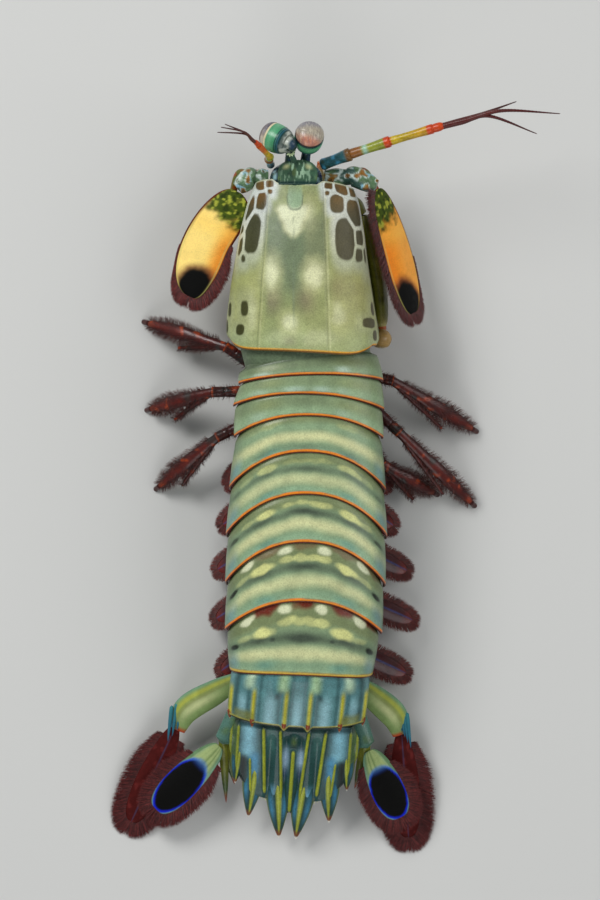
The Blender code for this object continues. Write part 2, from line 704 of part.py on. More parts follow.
# Walking legs: the body ring that carries each, its place across, knee and foot
LEGS = {
    ("leg_1", RIGHT): ("thorax_6", 9.6, (20.0, 14.8, 10.8), (38.0, 4.0)),
    ("leg_2", RIGHT): ("thorax_7", 9.6, (21.4, 3.6, 10.6), (37.6, -12.0)),
    ("leg_3", RIGHT): ("thorax_8", 9.6, (17.6, -3.2, 8.6), (29.6, -9.6)),
    ("leg_1", LEFT): ("thorax_6", -7.8, (-16.0, 22.2, 9.8), (-33.6, 27.6)),
    ("leg_2", LEFT): ("thorax_7", -7.8, (-19.0, 12.4, 10.2), (-33.0, 8.6)),
    ("leg_3", LEFT): ("thorax_8", -7.8, (-18.0, 2.6, 10.0), (-31.0, -8.4)),
}
FOOT_RADIUS = 0.6
THIGH_RADII = (1.1, 1.2, 1.3, 1.3, 1.2, 1.15)
SHIN_RADII = ((1.0, 0.8), (1.2, 0.8), (1.5, 0.8), (1.5, 0.75), (1.1, 0.7), (0.7, 0.6))


def make_leg(name, side, edges):
    """A green upper leg, and below the knee a flat red branch that stands and a slender one."""
    carrier, across, knee, foot = LEGS[(name, side)]
    body = ring_middle(edges, carrier)
    root = body.under(across, 0.0, GAP + 0.15)
    knee = Vector(knee)
    foot = Vector((*foot, 0.0))
    hip = body.under(across + side * 0.3, 0.0, GAP + 2.4)
    bend = between(hip, knee, 0.5)
    upper = tube(name, curve_points([root, hip, bend, knee], 6), THIGH_RADII, "limb_red", 6)
    ankle = foot + Vector((0, 0, 0.9)) + (knee - foot).normalized() * 1.2
    shin = between(knee, ankle, 0.55) + Vector((0, 0, 1.2))
    inward = (root - knee).normalized()
    path = curve_points([knee + inward * 0.6, shin, ankle], 6)
    lower = tube("lower", path, SHIN_RADII, "limb_red", 6)
    up = Vector((0, 0, 1))
    rings = [round_ring(middle, up, FOOT_RADIUS, 7) for middle in (ankle + up * 0.2, foot)]
    pad = loft("pad", rings, "limb_red")
    twig_end = between(knee, foot, 0.62) + Vector((side * -0.6, -3.6, 0.6))
    twig_end.z = max(twig_end.z, 1.2)
    path = curve_points([knee + inward * 0.4, between(knee, twig_end, 0.5), twig_end], 5)
    twig = tube("twig", path, tapering(0.75, 0.35, 5), "limb_red", 5)
    return fuse(name + "_" + SIDE_NAMES[side], upper, [lower, pad, twig])


# How far each swimming flap reaches past the edge of the body
PLEOPOD_OUT = {RIGHT: (0.8, 1.6, 4.6, 6.4, 6.4), LEFT: (0.8, 1.2, 2.0, 2.2, 1.6)}
PLEOPOD_ROOT = 8.2    # how far from the middle its stem meets the belly
LEAF_THICK = 0.6


def make_pleopod(index, edges, side):
    """A swimming flap: a short stem and two leaves, the outer one reaching past the body's edge."""
    name = f"pleopod_{index}_{SIDE_NAMES[side]}"
    body = ring_middle(edges, f"abdomen_{index}")
    root = body.under(side * PLEOPOD_ROOT, 0.0, GAP + 0.5)
    stem_end = root + Vector((side * 1.6, -1.4, -3.6))
    stem = tube(name, [root, between(root, stem_end, 0.5), stem_end], [(1.7, 1.2), (1.9, 1.2), (1.6, 1.1)],
                "limb_red", 6, Vector((0, 1, 0)))
    reach = body.half + PLEOPOD_OUT[side][index - 1] - PLEOPOD_ROOT
    outer = Paddle(stem_end + Vector((-side * 0.8, 0, 0.5)),
                   stem_end + Vector((side * (reach - 1.6), -6.2, -3.6)), 3.2, LEAF_THICK, 30, side)
    inner = Paddle(stem_end + Vector((side * 0.4, 0, 0.5)),
                   stem_end + Vector((-side * 1.2, -7.0, -4.8)), 3.0, LEAF_THICK, 20, side)
    leaves = [outer.blade("outer", "limb_red", 14, 4, 3), inner.blade("inner", "limb_red", 14, 4, 3)]
    return fuse(name, stem, leaves)


def make_abdomen_6(front, rear):
    """The last ring before the telson, with six ridges that end in spines."""
    ring = segment("abdomen_6", front, rear, "tail_teal")
    spines = []
    for across in CARINAE:
        for side in (-1, 1):
            path = []
            for share, lift in ((0.4, -0.3), (0.65, 0.15), (0.98, 0.3), (1.16, 0.1)):
                place = front.mixed(rear, min(share, 1.0))
                depth = place.dome * (1 - max(0.0, 1 - (across / place.half) ** (2 / SUPER)) ** (SUPER / 2))
                back = (share - 1.0) * 11.0 if share > 1 else 0.0
                path.append(place.frame.at(side * across, depth - lift, back + place.swept(across, depth)))
            spines.append(tube("spine", path, CARINA_RADII, "tail_teal", 5))
    return fuse("abdomen_6", ring, spines)


def telson_frame():
    ahead = Vector((-math.sin(TELSON_YAW), math.cos(TELSON_YAW), math.tan(TELSON_PITCH)))
    return Frame(TELSON_BASE, ahead)


def telson_fall(across):
    """How far the plate's upper face falls away from its middle line."""
    return TELSON_ARCH * (across / TELSON_HALF) ** 2


def make_telson():
    """The tail plate: a low arch with long ridges and six large teeth at its rear edge."""
    frame = telson_frame()
    count = 9
    rings = []
    for back, half, thick in TELSON:
        top, low = [], []
        for i in range(count):
            share = -1 + 2 * i / (count - 1)
            across = half * share
            edge = 0.35 + 0.65 * (1 - share ** 4)
            top.append(frame.at(across, telson_fall(across), back))
            low.append(frame.at(across, telson_fall(across) + thick * edge, back))
        rings.append(top + low[::-1])
    plate = loft("telson", rings, "tail_teal")
    pieces = []
    for side in (-1, 1):
        for start, end, wide in TEETH:
            path, sizes = [], []
            for share, size in ((0, 0.9), (0.45, 0.84), (0.8, 0.42), (1.0, 0.08)):
                across, back = between(start[0], end[0], share), between(start[1], end[1], share)
                path.append(frame.at(side * across, telson_fall(across) + 1.0, back))
                sizes.append((wide * size, 0.95 * max(size, 0.3)))
            pieces.append(tube("tooth", path, sizes, "tail_teal", 6, frame.up))
    for across, first, last in RIDGES:
        for side in ((-1, 1) if across else (1,)):
            path = []
            for share in (0, 0.3, 0.75, 1.0):
                back = between(first, last, share)
                drift = across - 0.9 * share * (0 < across < 12)
                path.append(frame.at(side * drift, telson_fall(drift) - 0.05, back))
            pieces.append(tube("ridge", path, RIDGE_RADII, "tail_teal", 4, frame.up))
    return fuse("telson", plate, pieces)


UROPODS = {
    RIGHT: dict(inner=((14.8, -64.4, 7.6), (21.6, -79.0, 4.2)), inner_tilt=6.0,
                knee=(20.2, -57.0, 6.6), outer=((21.8, -61.2, 4.6), (23.4, -83.6, 0.42)),
                outer_tilt=3.0),
    LEFT: dict(inner=((-17.2, -63.4, 7.6), (-30.4, -76.0, 4.2)), inner_tilt=6.0,
               knee=(-24.2, -55.6, 6.6), outer=((-26.6, -60.2, 4.6), (-36.4, -80.2, 0.42)),
               outer_tilt=3.0),
}
EXOPOD_RADII = ((1.5, 1.2), (2.2, 1.2), (2.6, 1.1), (2.5, 1.0), (2.1, 0.8), (1.6, 0.5))


def make_uropod(side, tail):
    """The side parts of the tail fan: base with its forked spine, inner paddle and two-part outer one."""
    pose = UROPODS[side]
    tag = SIDE_NAMES[side]
    hip = tail.under(side * 8.8, 0.0, GAP + 2.3)
    inner_base, inner_tip = (Vector(p) for p in pose["inner"])
    outer_base, outer_tip = (Vector(p) for p in pose["outer"])
    knee = Vector(pose["knee"])
    end = inner_base + (hip - inner_base).normalized() * 0.6
    stem = tube("uropod_base", [hip + Vector((-side * 0.8, 0.6, 0)), between(hip, end, 0.5), end],
                [(2.2, 1.8), (2.6, 1.9), (1.8, 1.3)], "tail_teal", 10)
    fork = []
    for reach, aside in ((14.5, -0.6), (10.5, -2.4)):
        start = end + Vector((-side * 0.4, 1.4, -0.6))
        tip = start + Vector((side * aside, -reach, -4.6))
        fork.append(tube("fork", [start, between(start, tip, 0.5), tip], [(1.1, 0.7), (0.9, 0.55), 0.25],
                         "tail_teal", 6))
    base_node = fuse("uropod_base_" + tag, stem, fork)

    inner = Paddle(inner_base, inner_tip, 4.0, LEAF_THICK, pose["inner_tilt"], side)
    blade = inner.blade("inner", "limb_red", 14, 7, 4)
    fringe = inner.fringe(8, 3.2, "limb_red", (58, 66), 31 + side)
    inner_node = fuse("uropod_endopod_" + tag, blade, fringe)

    start = hip + Vector((side * 3.3, 0.9, -0.6))
    bend = between(start, knee, 0.5) + Vector((0, 0.6, 0.3))
    path = curve_points([start, bend, knee, outer_base], 6)
    first = tube("outer_first", path, EXOPOD_RADII, "tail_teal", 8)
    spines = []
    for k in range(5):
        root = between(start, knee, 0.45 + 0.16 * k) + Vector((side * (2.0 - 0.12 * k), 0.2, -0.2))
        tip = root + Vector((side * (1.5 - 0.12 * k), -2.2 - 0.85 * k, -0.4 - 0.12 * k))
        path = [between(root, tip, -0.3), root, tip]
        spines.append(tube("spine", path, [0.55, 0.5, 0.2], "tail_teal", 5))
    base = outer_base + Vector((0, 1.0, 0.2))
    outer = Paddle(base, outer_tip, 3.5, LEAF_THICK, pose["outer_tilt"], side)
    blade = outer.blade("outer", "limb_red", 14, 7, 4)
    fringe = outer.fringe(8, 3.4, "limb_red", (56, 56), 51 + side)
    outer_node = fuse("uropod_exopod_" + tag, first, [blade, *spines, *fringe])
    rest_on_floor(outer_node)
    return base_node, inner_node, outer_node


def build():
    global model
    clear_scene()
    model = bpy.data.collections.new("mantis_shrimp")
    bpy.context.scene.collection.children.link(model)
    edges = body_boundaries()
    names = [row[0] for row in BOUNDARIES]
    make_carapace()
    _, cores = make_thorax_front(edges["thorax_5"])
    make_head()
    make_rostral_plate()
    for front, rear in zip(names[:-2], names[1:-1]):
        segment(rear, edges[front], edges[rear], "shell_green" if "thorax" in rear else "shell_band")
    make_abdomen_6(edges["abdomen_5"], edges["abdomen_6"])
    make_telson()
    for side in (RIGHT, LEFT):
        make_eye(side)
        make_antennule(side)
        make_antenna(side)
        make_antennal_scale(side)
        make_claw(side, cores)
        for row in MAXILLIPEDS:
            make_maxilliped(*row, side, cores)
        for name in ("leg_1", "leg_2", "leg_3"):
            make_leg(name, side, edges)
        for index in range(1, 6):
            make_pleopod(index, edges, side)
        make_uropod(side, ring_middle(edges, "abdomen_6"))
    for obj in model.objects:
        obj.data.shade_smooth()
        obj.data.set_sharp_from_angle(angle=math.radians(50))


build()
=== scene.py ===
"""The looks of a peacock mantis shrimp: each plate, limb, eye and bristle with its markings.

Sizes are in millimetres in the animal's own frame: +Y is ahead, +X is its right side, and the
floor is Z = 0. Each mesh is turned into metres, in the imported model's frame, when it is made.
"""
import itertools
import math

import bpy
import numpy as np
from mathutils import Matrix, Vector


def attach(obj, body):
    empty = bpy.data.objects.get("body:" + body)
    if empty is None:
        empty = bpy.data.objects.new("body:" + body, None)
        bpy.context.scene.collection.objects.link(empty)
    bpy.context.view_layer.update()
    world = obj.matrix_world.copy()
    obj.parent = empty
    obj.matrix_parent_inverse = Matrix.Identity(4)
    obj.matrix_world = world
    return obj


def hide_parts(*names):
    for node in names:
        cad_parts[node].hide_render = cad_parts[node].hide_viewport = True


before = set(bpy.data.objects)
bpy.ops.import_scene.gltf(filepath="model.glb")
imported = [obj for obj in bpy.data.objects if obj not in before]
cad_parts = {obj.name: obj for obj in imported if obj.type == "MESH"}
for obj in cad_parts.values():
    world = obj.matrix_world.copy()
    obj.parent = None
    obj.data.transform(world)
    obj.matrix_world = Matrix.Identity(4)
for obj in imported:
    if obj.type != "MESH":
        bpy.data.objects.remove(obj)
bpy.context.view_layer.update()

MM = 0.001
TO_ORIGIN = np.array([-6.89, 6.50, 0.0])
UP = np.array([0.0, 0.0, 1.0])
RIGHT, LEFT = 1, -1
SIDE_NAMES = {RIGHT: "R", LEFT: "L"}

# A photo pixel and the photo's middle, in the animal's frame
PIXEL = 0.2123
PHOTO_MIDDLE = (300.0, 450.0)


def colour(red, green, blue):
    """A colour as it looks, from 0 to 255, in the linear values that a shader takes."""
    share = np.array([red, green, blue]) / 255
    return np.where(share <= 0.04045, share / 12.92, ((share + 0.055) / 1.055) ** 2.4)


OLIVE = colour(142, 152, 98)
GREY_GREEN = colour(104, 119, 88)
PALE_GREEN = colour(150, 178, 138)
TEAL = colour(104, 150, 132)
CREAM = colour(208, 210, 156)
BONE = colour(216, 220, 182)
SHADE = colour(66, 78, 64)
ORANGE = colour(232, 124, 24)
DARK_RED = colour(84, 22, 10)
MAROON = colour(74, 20, 18)
LAVENDER = colour(196, 204, 214)
YELLOW = colour(188, 180, 40)
BLUE = colour(64, 128, 160)
ICE_BLUE = colour(128, 184, 200)
DEEP_TEAL = colour(22, 58, 58)
LEAF = colour(92, 116, 40)
BLACK = colour(8, 8, 7)


def unit(v):
    """The direction of v, with length 1."""
    return v / np.linalg.norm(v, axis=-1, keepdims=True)


def vec(*numbers):
    """A point or a direction."""
    return np.array(numbers, float)


def between(a, b, share):
    """a at share 0 and b at share 1."""
    return a + (b - a) * share


def soft(value, low, high):
    """0 at low, 1 at high, and smooth between them. low may be the larger one."""
    share = np.clip((value - low) / (high - low), 0, 1)
    return share * share * (3 - 2 * share)


def hump(value, middle, reach):
    """1 at middle, and 0 beyond reach on either side."""
    return soft(np.abs(value - middle), reach, 0.0)


def noise(points, size, seed=0):
    """Smooth noise from -1 to 1, with blobs about size across."""
    cell = np.floor(points / size)
    part = points / size - cell
    part = part * part * (3 - 2 * part)
    total = 0
    for corner in itertools.product((0, 1), repeat=3):
        mixed = (cell + corner) @ vec(127.1, 311.7, 74.7) + seed * 57.3
        value = np.modf(np.abs(np.sin(mixed)) * 43758.5453)[0]
        total = total + value * np.prod(np.where(corner, part, 1 - part), axis=-1)
    return total * 2 - 1


def spline(stations, count):
    """Rows of numbers on a smooth curve (Catmull-Rom) through the stations."""
    rows = np.array(stations, float)
    rows = np.vstack([2 * rows[0] - rows[1], rows, 2 * rows[-1] - rows[-2]])
    place = np.linspace(0, len(stations) - 1, count)
    i = np.minimum(place.astype(int), len(stations) - 2)
    t = (place - i)[:, None]
    a, b, c, d = rows[i], rows[i + 1], rows[i + 2], rows[i + 3]
    return 0.5 * (2 * b + (c - a) * t + (2 * a - 5 * b + 4 * c - d) * t ** 2
                  + (3 * b - a - 3 * c + d) * t ** 3)


def smooth_between(x, stations):
    """The stations' other columns at x, which is read against their first, with no creases."""
    rows = np.array(stations, float)
    xs, ys = rows[:, 0], rows[:, 1:]
    slopes = np.gradient(ys, xs, axis=0)
    i = np.clip(np.searchsorted(xs, x) - 1, 0, len(xs) - 2)
    width = xs[i + 1] - xs[i]
    t = ((x - xs[i]) / width)[:, None]
    width = width[:, None]
    return ((2 * t ** 3 - 3 * t ** 2 + 1) * ys[i] + (t ** 3 - 2 * t ** 2 + t) * width * slopes[i]
            + (3 * t ** 2 - 2 * t ** 3) * ys[i + 1] + (t ** 3 - t ** 2) * width * slopes[i + 1]).T


class Paint:
    """Colours laid over one another on a whole grid of points."""

    def __init__(self, points, ground):
        self.points = points
        self.tint = np.broadcast_to(ground, points.shape).copy()

    def lay(self, tone, mask):
        """Covers what is there with tone, wholly where mask is 1."""
        self.tint += (tone - self.tint) * np.clip(mask, 0, 1)[..., None]
        return self

    def mottle(self, size, amount, seed=0):
        """Makes the colours lighter and darker by amount, in blobs about size across."""
        self.tint *= 1 + amount * noise(self.points, size, seed)[..., None]
        return self


def grid_faces(rows, columns, wrap_rows=False, wrap_columns=False):
    """The four corners of each face of a grid of points."""
    r = np.arange(rows if wrap_rows else rows - 1)[:, None]
    c = np.arange(columns if wrap_columns else columns - 1)[None, :]
    r2, c2 = (r + 1) % rows, (c + 1) % columns
    return np.stack([r * columns + c, r * columns + c2, r2 * columns + c2, r2 * columns + c],
                    axis=-1).reshape(-1, 4)


class Piece:
    """Gathers closed shapes in millimetres, with a colour at each point, into one object."""

    def __init__(self, name):
        self.name = name
        self.points, self.tints, self.faces, self.places = [], [], [], []
        self.count = 0

    def add(self, points, faces, tint, place=None):
        """faces holds one array for each count of corners. place is a bristle's patch on the map."""
        flat = np.asarray(points, float).reshape(-1, 3)
        held = 0.0
        for group in faces:
            for k in range(1, group.shape[1] - 1):
                held += np.einsum("ij,ij->", flat[group[:, 0]],
                                  np.cross(flat[group[:, k]], flat[group[:, k + 1]]))
        for group in faces:
            self.faces.extend(((group if held > 0 else group[:, ::-1]) + self.count).tolist())
        self.points.append(flat)
        self.tints.append(np.broadcast_to(tint, np.asarray(points).shape).reshape(-1, 3))
        if place is not None:
            self.places.append(np.asarray(place, float).reshape(-1, 2))
        self.count += len(flat)

    def tube(self, rings, tint):
        """A closed tube through rings of points, with a flat cap at each end."""
        rows, sides = rings.shape[:2]
        ends = np.array([np.arange(sides)[::-1], (rows - 1) * sides + np.arange(sides)])
        self.add(rings, [grid_faces(rows, sides, wrap_columns=True), ends], tint)

    def sheet(self, outer, tint, thick, rim_tint, inner_tint, inner_rows=8):
        """A plate from its outer face: a round rear rim, and an inner face with fewer rows."""
        along = np.gradient(outer, axis=0)
        across = np.gradient(outer, axis=1)
        normal = unit(np.cross(across, along))
        if normal[..., 2].mean() < 0:
            normal = -normal
        behind = unit(outer[-1] - outer[-2])
        rim = [outer[-1] - normal[-1] * thick / 2
               + (normal[-1] * math.cos(a) + behind * math.sin(a)) * thick / 2
               for a in (0.6, 1.57, 2.5)]
        picks = np.unique(np.linspace(0, len(outer) - 1, inner_rows).astype(int))[::-1]
        loop = np.concatenate([outer, np.array(rim), outer[picks] - normal[picks] * thick])
        rows, columns = loop.shape[:2]
        tints = np.concatenate([tint, np.broadcast_to(rim_tint, (len(rim), columns, 3)),
                                np.broadcast_to(inner_tint, (len(picks), columns, 3))])
        ends = np.array([np.arange(rows)[::-1] * columns, np.arange(rows) * columns + columns - 1])
        self.add(loop, [grid_faces(rows, columns, wrap_rows=True), ends], tints)

    def done(self, finish, slot, *nodes):
        """Makes the object, rides it on the body and hides the nodes that it stands for."""
        mesh = bpy.data.meshes.new(self.name)
        points = (np.concatenate(self.points) + TO_ORIGIN) * MM
        mesh.from_pydata(points.tolist(), [], self.faces)
        tint = mesh.attributes.new("tint", "FLOAT_COLOR", "POINT")
        tints = np.concatenate([np.concatenate(self.tints), np.ones((self.count, 1))], axis=1)
        tint.data.foreach_set("color", np.clip(tints, 0, 1).ravel())
        if self.places:
            corners = np.zeros(len(mesh.loops), int)
            mesh.loops.foreach_get("vertex_index", corners)
            unwrap = mesh.uv_layers.new(name="OFBake")
            unwrap.data.foreach_set("uv", np.concatenate(self.places)[corners].ravel())
        mesh.materials.append(finish)
        mesh.shade_smooth()
        mesh.set_sharp_from_angle(angle=math.radians(45))
        obj = bpy.data.objects.new(self.name, mesh)
        bpy.context.scene.collection.objects.link(obj)
        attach(obj, "root")
        if nodes:
            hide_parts(*nodes)
        return obj


def rings_along(path, sizes, sides, up=UP, turn=0.0):
    """Rings of points square to a path. sizes are (across, along up) at each point of it. The rings
    are carried along the path without a twist."""
    ways = unit(np.gradient(path, axis=0))
    above = up if abs(ways[0] @ up) < 0.9 else vec(0, 1, 0)
    angles = 2 * math.pi * (np.arange(sides) + turn) / sides
    rings = []
    for point, ahead, (wide, tall) in zip(path, ways, sizes):
        across = unit(np.cross(ahead, above))
        above = unit(np.cross(across, ahead))
        rings.append(point + np.outer(np.cos(angles) * wide, across)
                     + np.outer(np.sin(angles) * tall, above))
    return np.array(rings)


def limb(stations, count, sides, up=UP):
    """A smooth limb through stations of (x, y, z, across, along up), with round ends."""
    rows = spline(stations, count)
    share = np.linspace(0, 1, count)
    ends = np.sqrt(np.clip(1 - (1 - np.minimum(share, 1 - share) / (1.2 / count)).clip(0) ** 2, 0.02, 1))
    return rings_along(rows[:, :3], np.clip(rows[:, 3:5], 0.03, None) * ends[:, None], sides, up)


def stations(a, b, rows):
    """Stations for a limb from a to b. Each row is a share of the way, and one size or two."""
    return [(*between(a, b, share), size[0], size[-1]) for share, *size in rows]


def shares_along(rings):
    """How far along its limb each point lies, from 0 to 1."""
    rows, sides = rings.shape[:2]
    return np.linspace(0, 1, rows)[:, None] * np.ones((1, sides))


def swollen(rings, amount):
    """The rings made amount times as wide about the limb's middle line."""
    middle = rings.mean(axis=1, keepdims=True)
    return middle + (rings - middle) * amount


def every_third(count):
    """1 for every third of count rings, and 0 for the others, to be laid on a limb's points."""
    return (np.arange(count) % 3 == 0)[:, None, None]


# Finishes: each reads the painted colours and adds its own grain, gloss and relief

class Finish:
    """One material, built from small steps."""

    def __init__(self, name):
        self.material = bpy.data.materials.new(name)
        self.material.use_nodes = True
        self.tree = self.material.node_tree
        self.shader = self.tree.nodes["Principled BSDF"]

    def node(self, kind, outlet=0, **inlets):
        """A new node. i0, i1 and so on name its inlets by number, and others by name."""
        made = self.tree.nodes.new("ShaderNode" + kind)
        for name, value in inlets.items():
            if name in ("operation", "attribute_name"):
                setattr(made, name, value)
                continue
            numbered = name[0] == "i" and name[1:].isdigit()
            self.fill(made.inputs[int(name[1:]) if numbered else name], value)
        return made.outputs[outlet]

    def fill(self, inlet, value):
        """Links another node's outlet to the inlet, or sets a constant on it."""
        if isinstance(value, bpy.types.NodeSocket):
            self.tree.links.new(value, inlet)
        else:
            inlet.default_value = value

    def place(self):
        """The point's place on the model."""
        return self.node("TexCoord", 3)

    def grain(self, size, detail=3.0):
        """Noise with blobs about size millimetres across."""
        return self.node("TexNoise", Vector=self.place(), Scale=1 / (size * MM), Detail=detail)

    def cells(self, size):
        """How far the point is from the middle of a cell about size millimetres across."""
        return self.node("TexVoronoi", Vector=self.place(), Scale=1 / (size * MM))

    def spread(self, value, low, high, to_low=0.0, to_high=1.0):
        """to_low where the value is low, and to_high where it is high."""
        return self.node("MapRange", i0=value, i1=low, i2=high, i3=to_low, i4=to_high)

    def times(self, a, b):
        """a times b."""
        return self.node("Math", operation="MULTIPLY", i0=a, i1=b)

    def plus(self, a, b):
        """a plus b."""
        return self.node("Math", operation="ADD", i0=a, i1=b)

    def scaled(self, tone, amount):
        """A colour made brighter or darker by amount."""
        return self.node("VectorMath", operation="SCALE", i0=tone, Scale=amount)

    def mixed(self, a, b, share):
        """Colour a where share is 0, and b where it is 1."""
        made = self.tree.nodes.new("ShaderNodeMix")
        made.data_type = "RGBA"
        for inlet, value in ((0, share), (6, a), (7, b)):
            self.fill(made.inputs[inlet], value)
        return made.outputs[2]

    def tint(self):
        """The colour painted on the mesh."""
        return self.node("Attribute", attribute_name="tint")

    def set(self, **values):
        """Sets the shader's inlets. A constant goes straight on its socket."""
        for name, value in values.items():
            self.fill(self.shader.inputs[name.replace("_", " ")], value)

    def relief(self, height, depth):
        """Bumps of depth millimetres."""
        self.set(Normal=self.node("Bump", Height=height, Distance=depth * MM, Strength=1.0))


def shell_finish(name, grain, contrast, gloss, relief, coat, specks=None, shine=0.22):
    """Wet shell: stippled colour, fine pits and an uneven gloss. specks are (size, tone, share)."""
    finish = Finish(name)
    fine = finish.grain(grain, 4.0)
    broad = finish.grain(grain * 9, 2.0)
    shade = finish.times(finish.spread(fine, 0.3, 0.7, 1 - contrast, 1 + contrast),
                         finish.spread(broad, 0.3, 0.7, 1 - contrast * 0.5, 1 + contrast * 0.5))
    tone = finish.scaled(finish.tint(), shade)
    if specks:
        size, dark, share = specks
        dots = finish.spread(finish.cells(size), 0.12, 0.34, share, 0.0)
        tone = finish.mixed(tone, (*dark, 1.0), dots)
    rough = finish.spread(finish.grain(grain * 4, 3.0), 0.3, 0.7, gloss - 0.07, gloss + 0.09)
    finish.set(Base_Color=tone, Roughness=rough, Coat_Weight=coat, Coat_Roughness=0.22,
               Specular_IOR_Level=shine)
    pits = finish.spread(finish.cells(grain * 1.6), 0.0, 0.5, 0.0, 0.5)
    finish.relief(finish.plus(fine, pits), relief)
    return finish.material


def hair_finish(name):
    """Bristles: streaked along their length by the grain, with a soft sheen."""
    finish = Finish(name)
    shade = finish.spread(finish.grain(0.5, 2.0), 0.3, 0.7, 0.7, 1.35)
    finish.set(Base_Color=finish.scaled(finish.tint(), shade), Roughness=0.5, Sheen_Weight=0.25,
               Specular_IOR_Level=0.3)
    finish.relief(finish.grain(0.15, 2.0), 0.02)
    return finish.material


def cornea_finish(name):
    """The pearly cornea: tiny facets under a clear, glossy coat."""
    finish = Finish(name)
    facets = finish.cells(0.16)
    shade = finish.spread(facets, 0.0, 0.6, 1.12, 0.78)
    finish.set(Base_Color=finish.scaled(finish.tint(), shade), Roughness=0.36, Coat_Weight=0.4,
               Coat_Roughness=0.20, Specular_IOR_Level=0.3)
    finish.relief(finish.spread(facets, 0.0, 0.6, 1.0, 0.0), 0.015)
    return finish.material


FINISHES = {
    "carapace": shell_finish("carapace_shell", 0.30, 0.17, 0.42, 0.045, 0.12,
                             (0.75, colour(86, 92, 62), 0.10)),
    "tergite": shell_finish("tergite_shell", 0.34, 0.13, 0.36, 0.04, 0.2,
                            (0.62, colour(96, 112, 88), 0.22)),
    "tail": shell_finish("tail_shell", 0.30, 0.20, 0.32, 0.05, 0.3),
    "flesh": shell_finish("body_skin", 0.6, 0.22, 0.45, 0.09, 0.1),
    "limb": shell_finish("limb_shell", 0.32, 0.20, 0.34, 0.06, 0.3),
    "blade": shell_finish("blade_skin", 0.24, 0.10, 0.55, 0.03, 0.0, None, 0.08),
    "rostral": shell_finish("rostral_skin", 0.22, 0.16, 0.5, 0.04, 0.05),
    "eyestalk": shell_finish("eyestalk_skin", 0.22, 0.14, 0.30, 0.03, 0.4),
    "bristle": hair_finish("bristles"),
    "cornea": cornea_finish("cornea_facets"),
}


# The body: sections of the back and belly, from head to tail. Each row gives the rear margin of
# one plate on the middle of the back: name, x, y, z, half width, dome depth, pleuron depth, belly
# depth and sweep of the sides

BOUNDARIES = (
    ("thorax_5", 1.6, 19.4, 26.6, 13.4, 7.0, 9.0, 13.4, 0.6),
    ("thorax_6", 2.3, 16.0, 27.0, 15.2, 7.2, 9.6, 13.6, 1.4),
    ("thorax_7", 1.9, 11.9, 26.8, 15.9, 7.6, 10.4, 13.4, 3.2),
    ("thorax_8", 1.9, 7.3, 26.5, 15.7, 8.0, 11.4, 13.2, 5.0),
    ("abdomen_1", 1.7, -0.4, 26.0, 16.5, 8.6, 13.6, 13.0, 8.4),
    ("abdomen_2", 1.5, -9.3, 25.6, 17.0, 8.8, 14.4, 12.8, 9.4),
    ("abdomen_3", 1.3, -19.5, 25.1, 16.9, 8.8, 14.4, 12.6, 9.6),
    ("abdomen_4", 0.9, -32.0, 24.2, 16.6, 8.6, 14.0, 12.2, 7.6),
    ("abdomen_5", 0.2, -47.7, 22.0, 15.1, 8.2, 12.4, 11.4, 1.4),
    ("abdomen_6", -0.9, -59.0, 17.2, 14.6, 5.6, 7.4, 8.6, -0.6),
)
# The power that shapes the dome's outline, and how much of the body's turn its sections follow
SUPER = 0.86
YAW_SHARE = 0.6
DOME_COLUMNS = 150
SIDE_COLUMNS = 22

CARAPACE_FRONT = vec(0.1, 56.9, 24.4)
CARAPACE_REAR = vec(-0.8, 20.4, 28.6)
CARAPACE_ROLL = math.radians(9.0)
# Along the carapace: the share of its length, half width, dome depth and depth of the side wings
CARAPACE = (
    (0.00, 10.6, 5.6, 6.6),
    (0.05, 11.4, 6.4, 8.0),
    (0.20, 12.8, 7.6, 11.0),
    (0.42, 14.1, 8.6, 13.2),
    (0.66, 15.4, 9.2, 14.6),
    (0.86, 16.2, 9.4, 14.6),
    (0.96, 16.1, 9.2, 12.8),
    (1.00, 15.7, 9.0, 10.6),
)
FRONT_CORNER = 0.6
REAR_CORNER = 2.6
CORE_INSET = 1.7
STERNUM_DEPTH = 15.6


class Section:
    """A place on the body: a point, the directions right, ahead and up there, and the sizes."""

    def __init__(self, point, ahead, sizes=(), roll=0.0):
        self.point = np.array(point, float)
        self.ahead = unit(np.array(ahead, float))
        level = unit(np.cross(self.ahead, UP))
        above = np.cross(level, self.ahead)
        self.right = level * math.cos(roll) + above * math.sin(roll)
        self.up = np.cross(self.right, self.ahead)
        self.sizes = sizes
        if len(sizes):
            self.half, self.dome, self.pleuron, self.belly, self.sweep = sizes

    def at(self, across, depth, back=0.0):
        """The point so far to the right, down and back from the section's own point."""
        across, depth, back = (np.asarray(x, float)[..., None] for x in (across, depth, back))
        return self.point + self.right * across - self.up * depth - self.ahead * back

    def mixed(self, other, share):
        """The section a share of the way from this one to the other."""
        sizes = [between(a, b, share) for a, b in zip(self.sizes, other.sizes)]
        return Section(between(self.point, other.point, share),
                       between(self.ahead, other.ahead, share), sizes)

    def swept(self, across, depth):
        """How far back the plates' sides reach there, behind the middle of the back."""
        side = np.minimum(np.abs(across) / self.half, 1.1) ** 2.2
        return self.sweep * (0.8 * side + 0.3 * depth / self.pleuron)

    def under(self, across, back=0.0, gap=0.35):
        """A point below the belly, where a limb starts."""
        slope = 0.6 * max(0.0, abs(across) / self.half - 0.3) / 0.4
        return self.at(across, self.belly - slope + gap, back + self.swept(across, self.belly))


def body_sections():
    """The section at each plate's rear margin, by the plate's name."""
    points = [vec(*row[1:4]) for row in BOUNDARIES]
    found = {}
    for i, row in enumerate(BOUNDARIES):
        ahead = points[max(i - 1, 0)] - points[min(i + 1, len(points) - 1)]
        ahead[0] *= YAW_SHARE
        found[row[0]] = Section(points[i], ahead, row[4:])
    return found


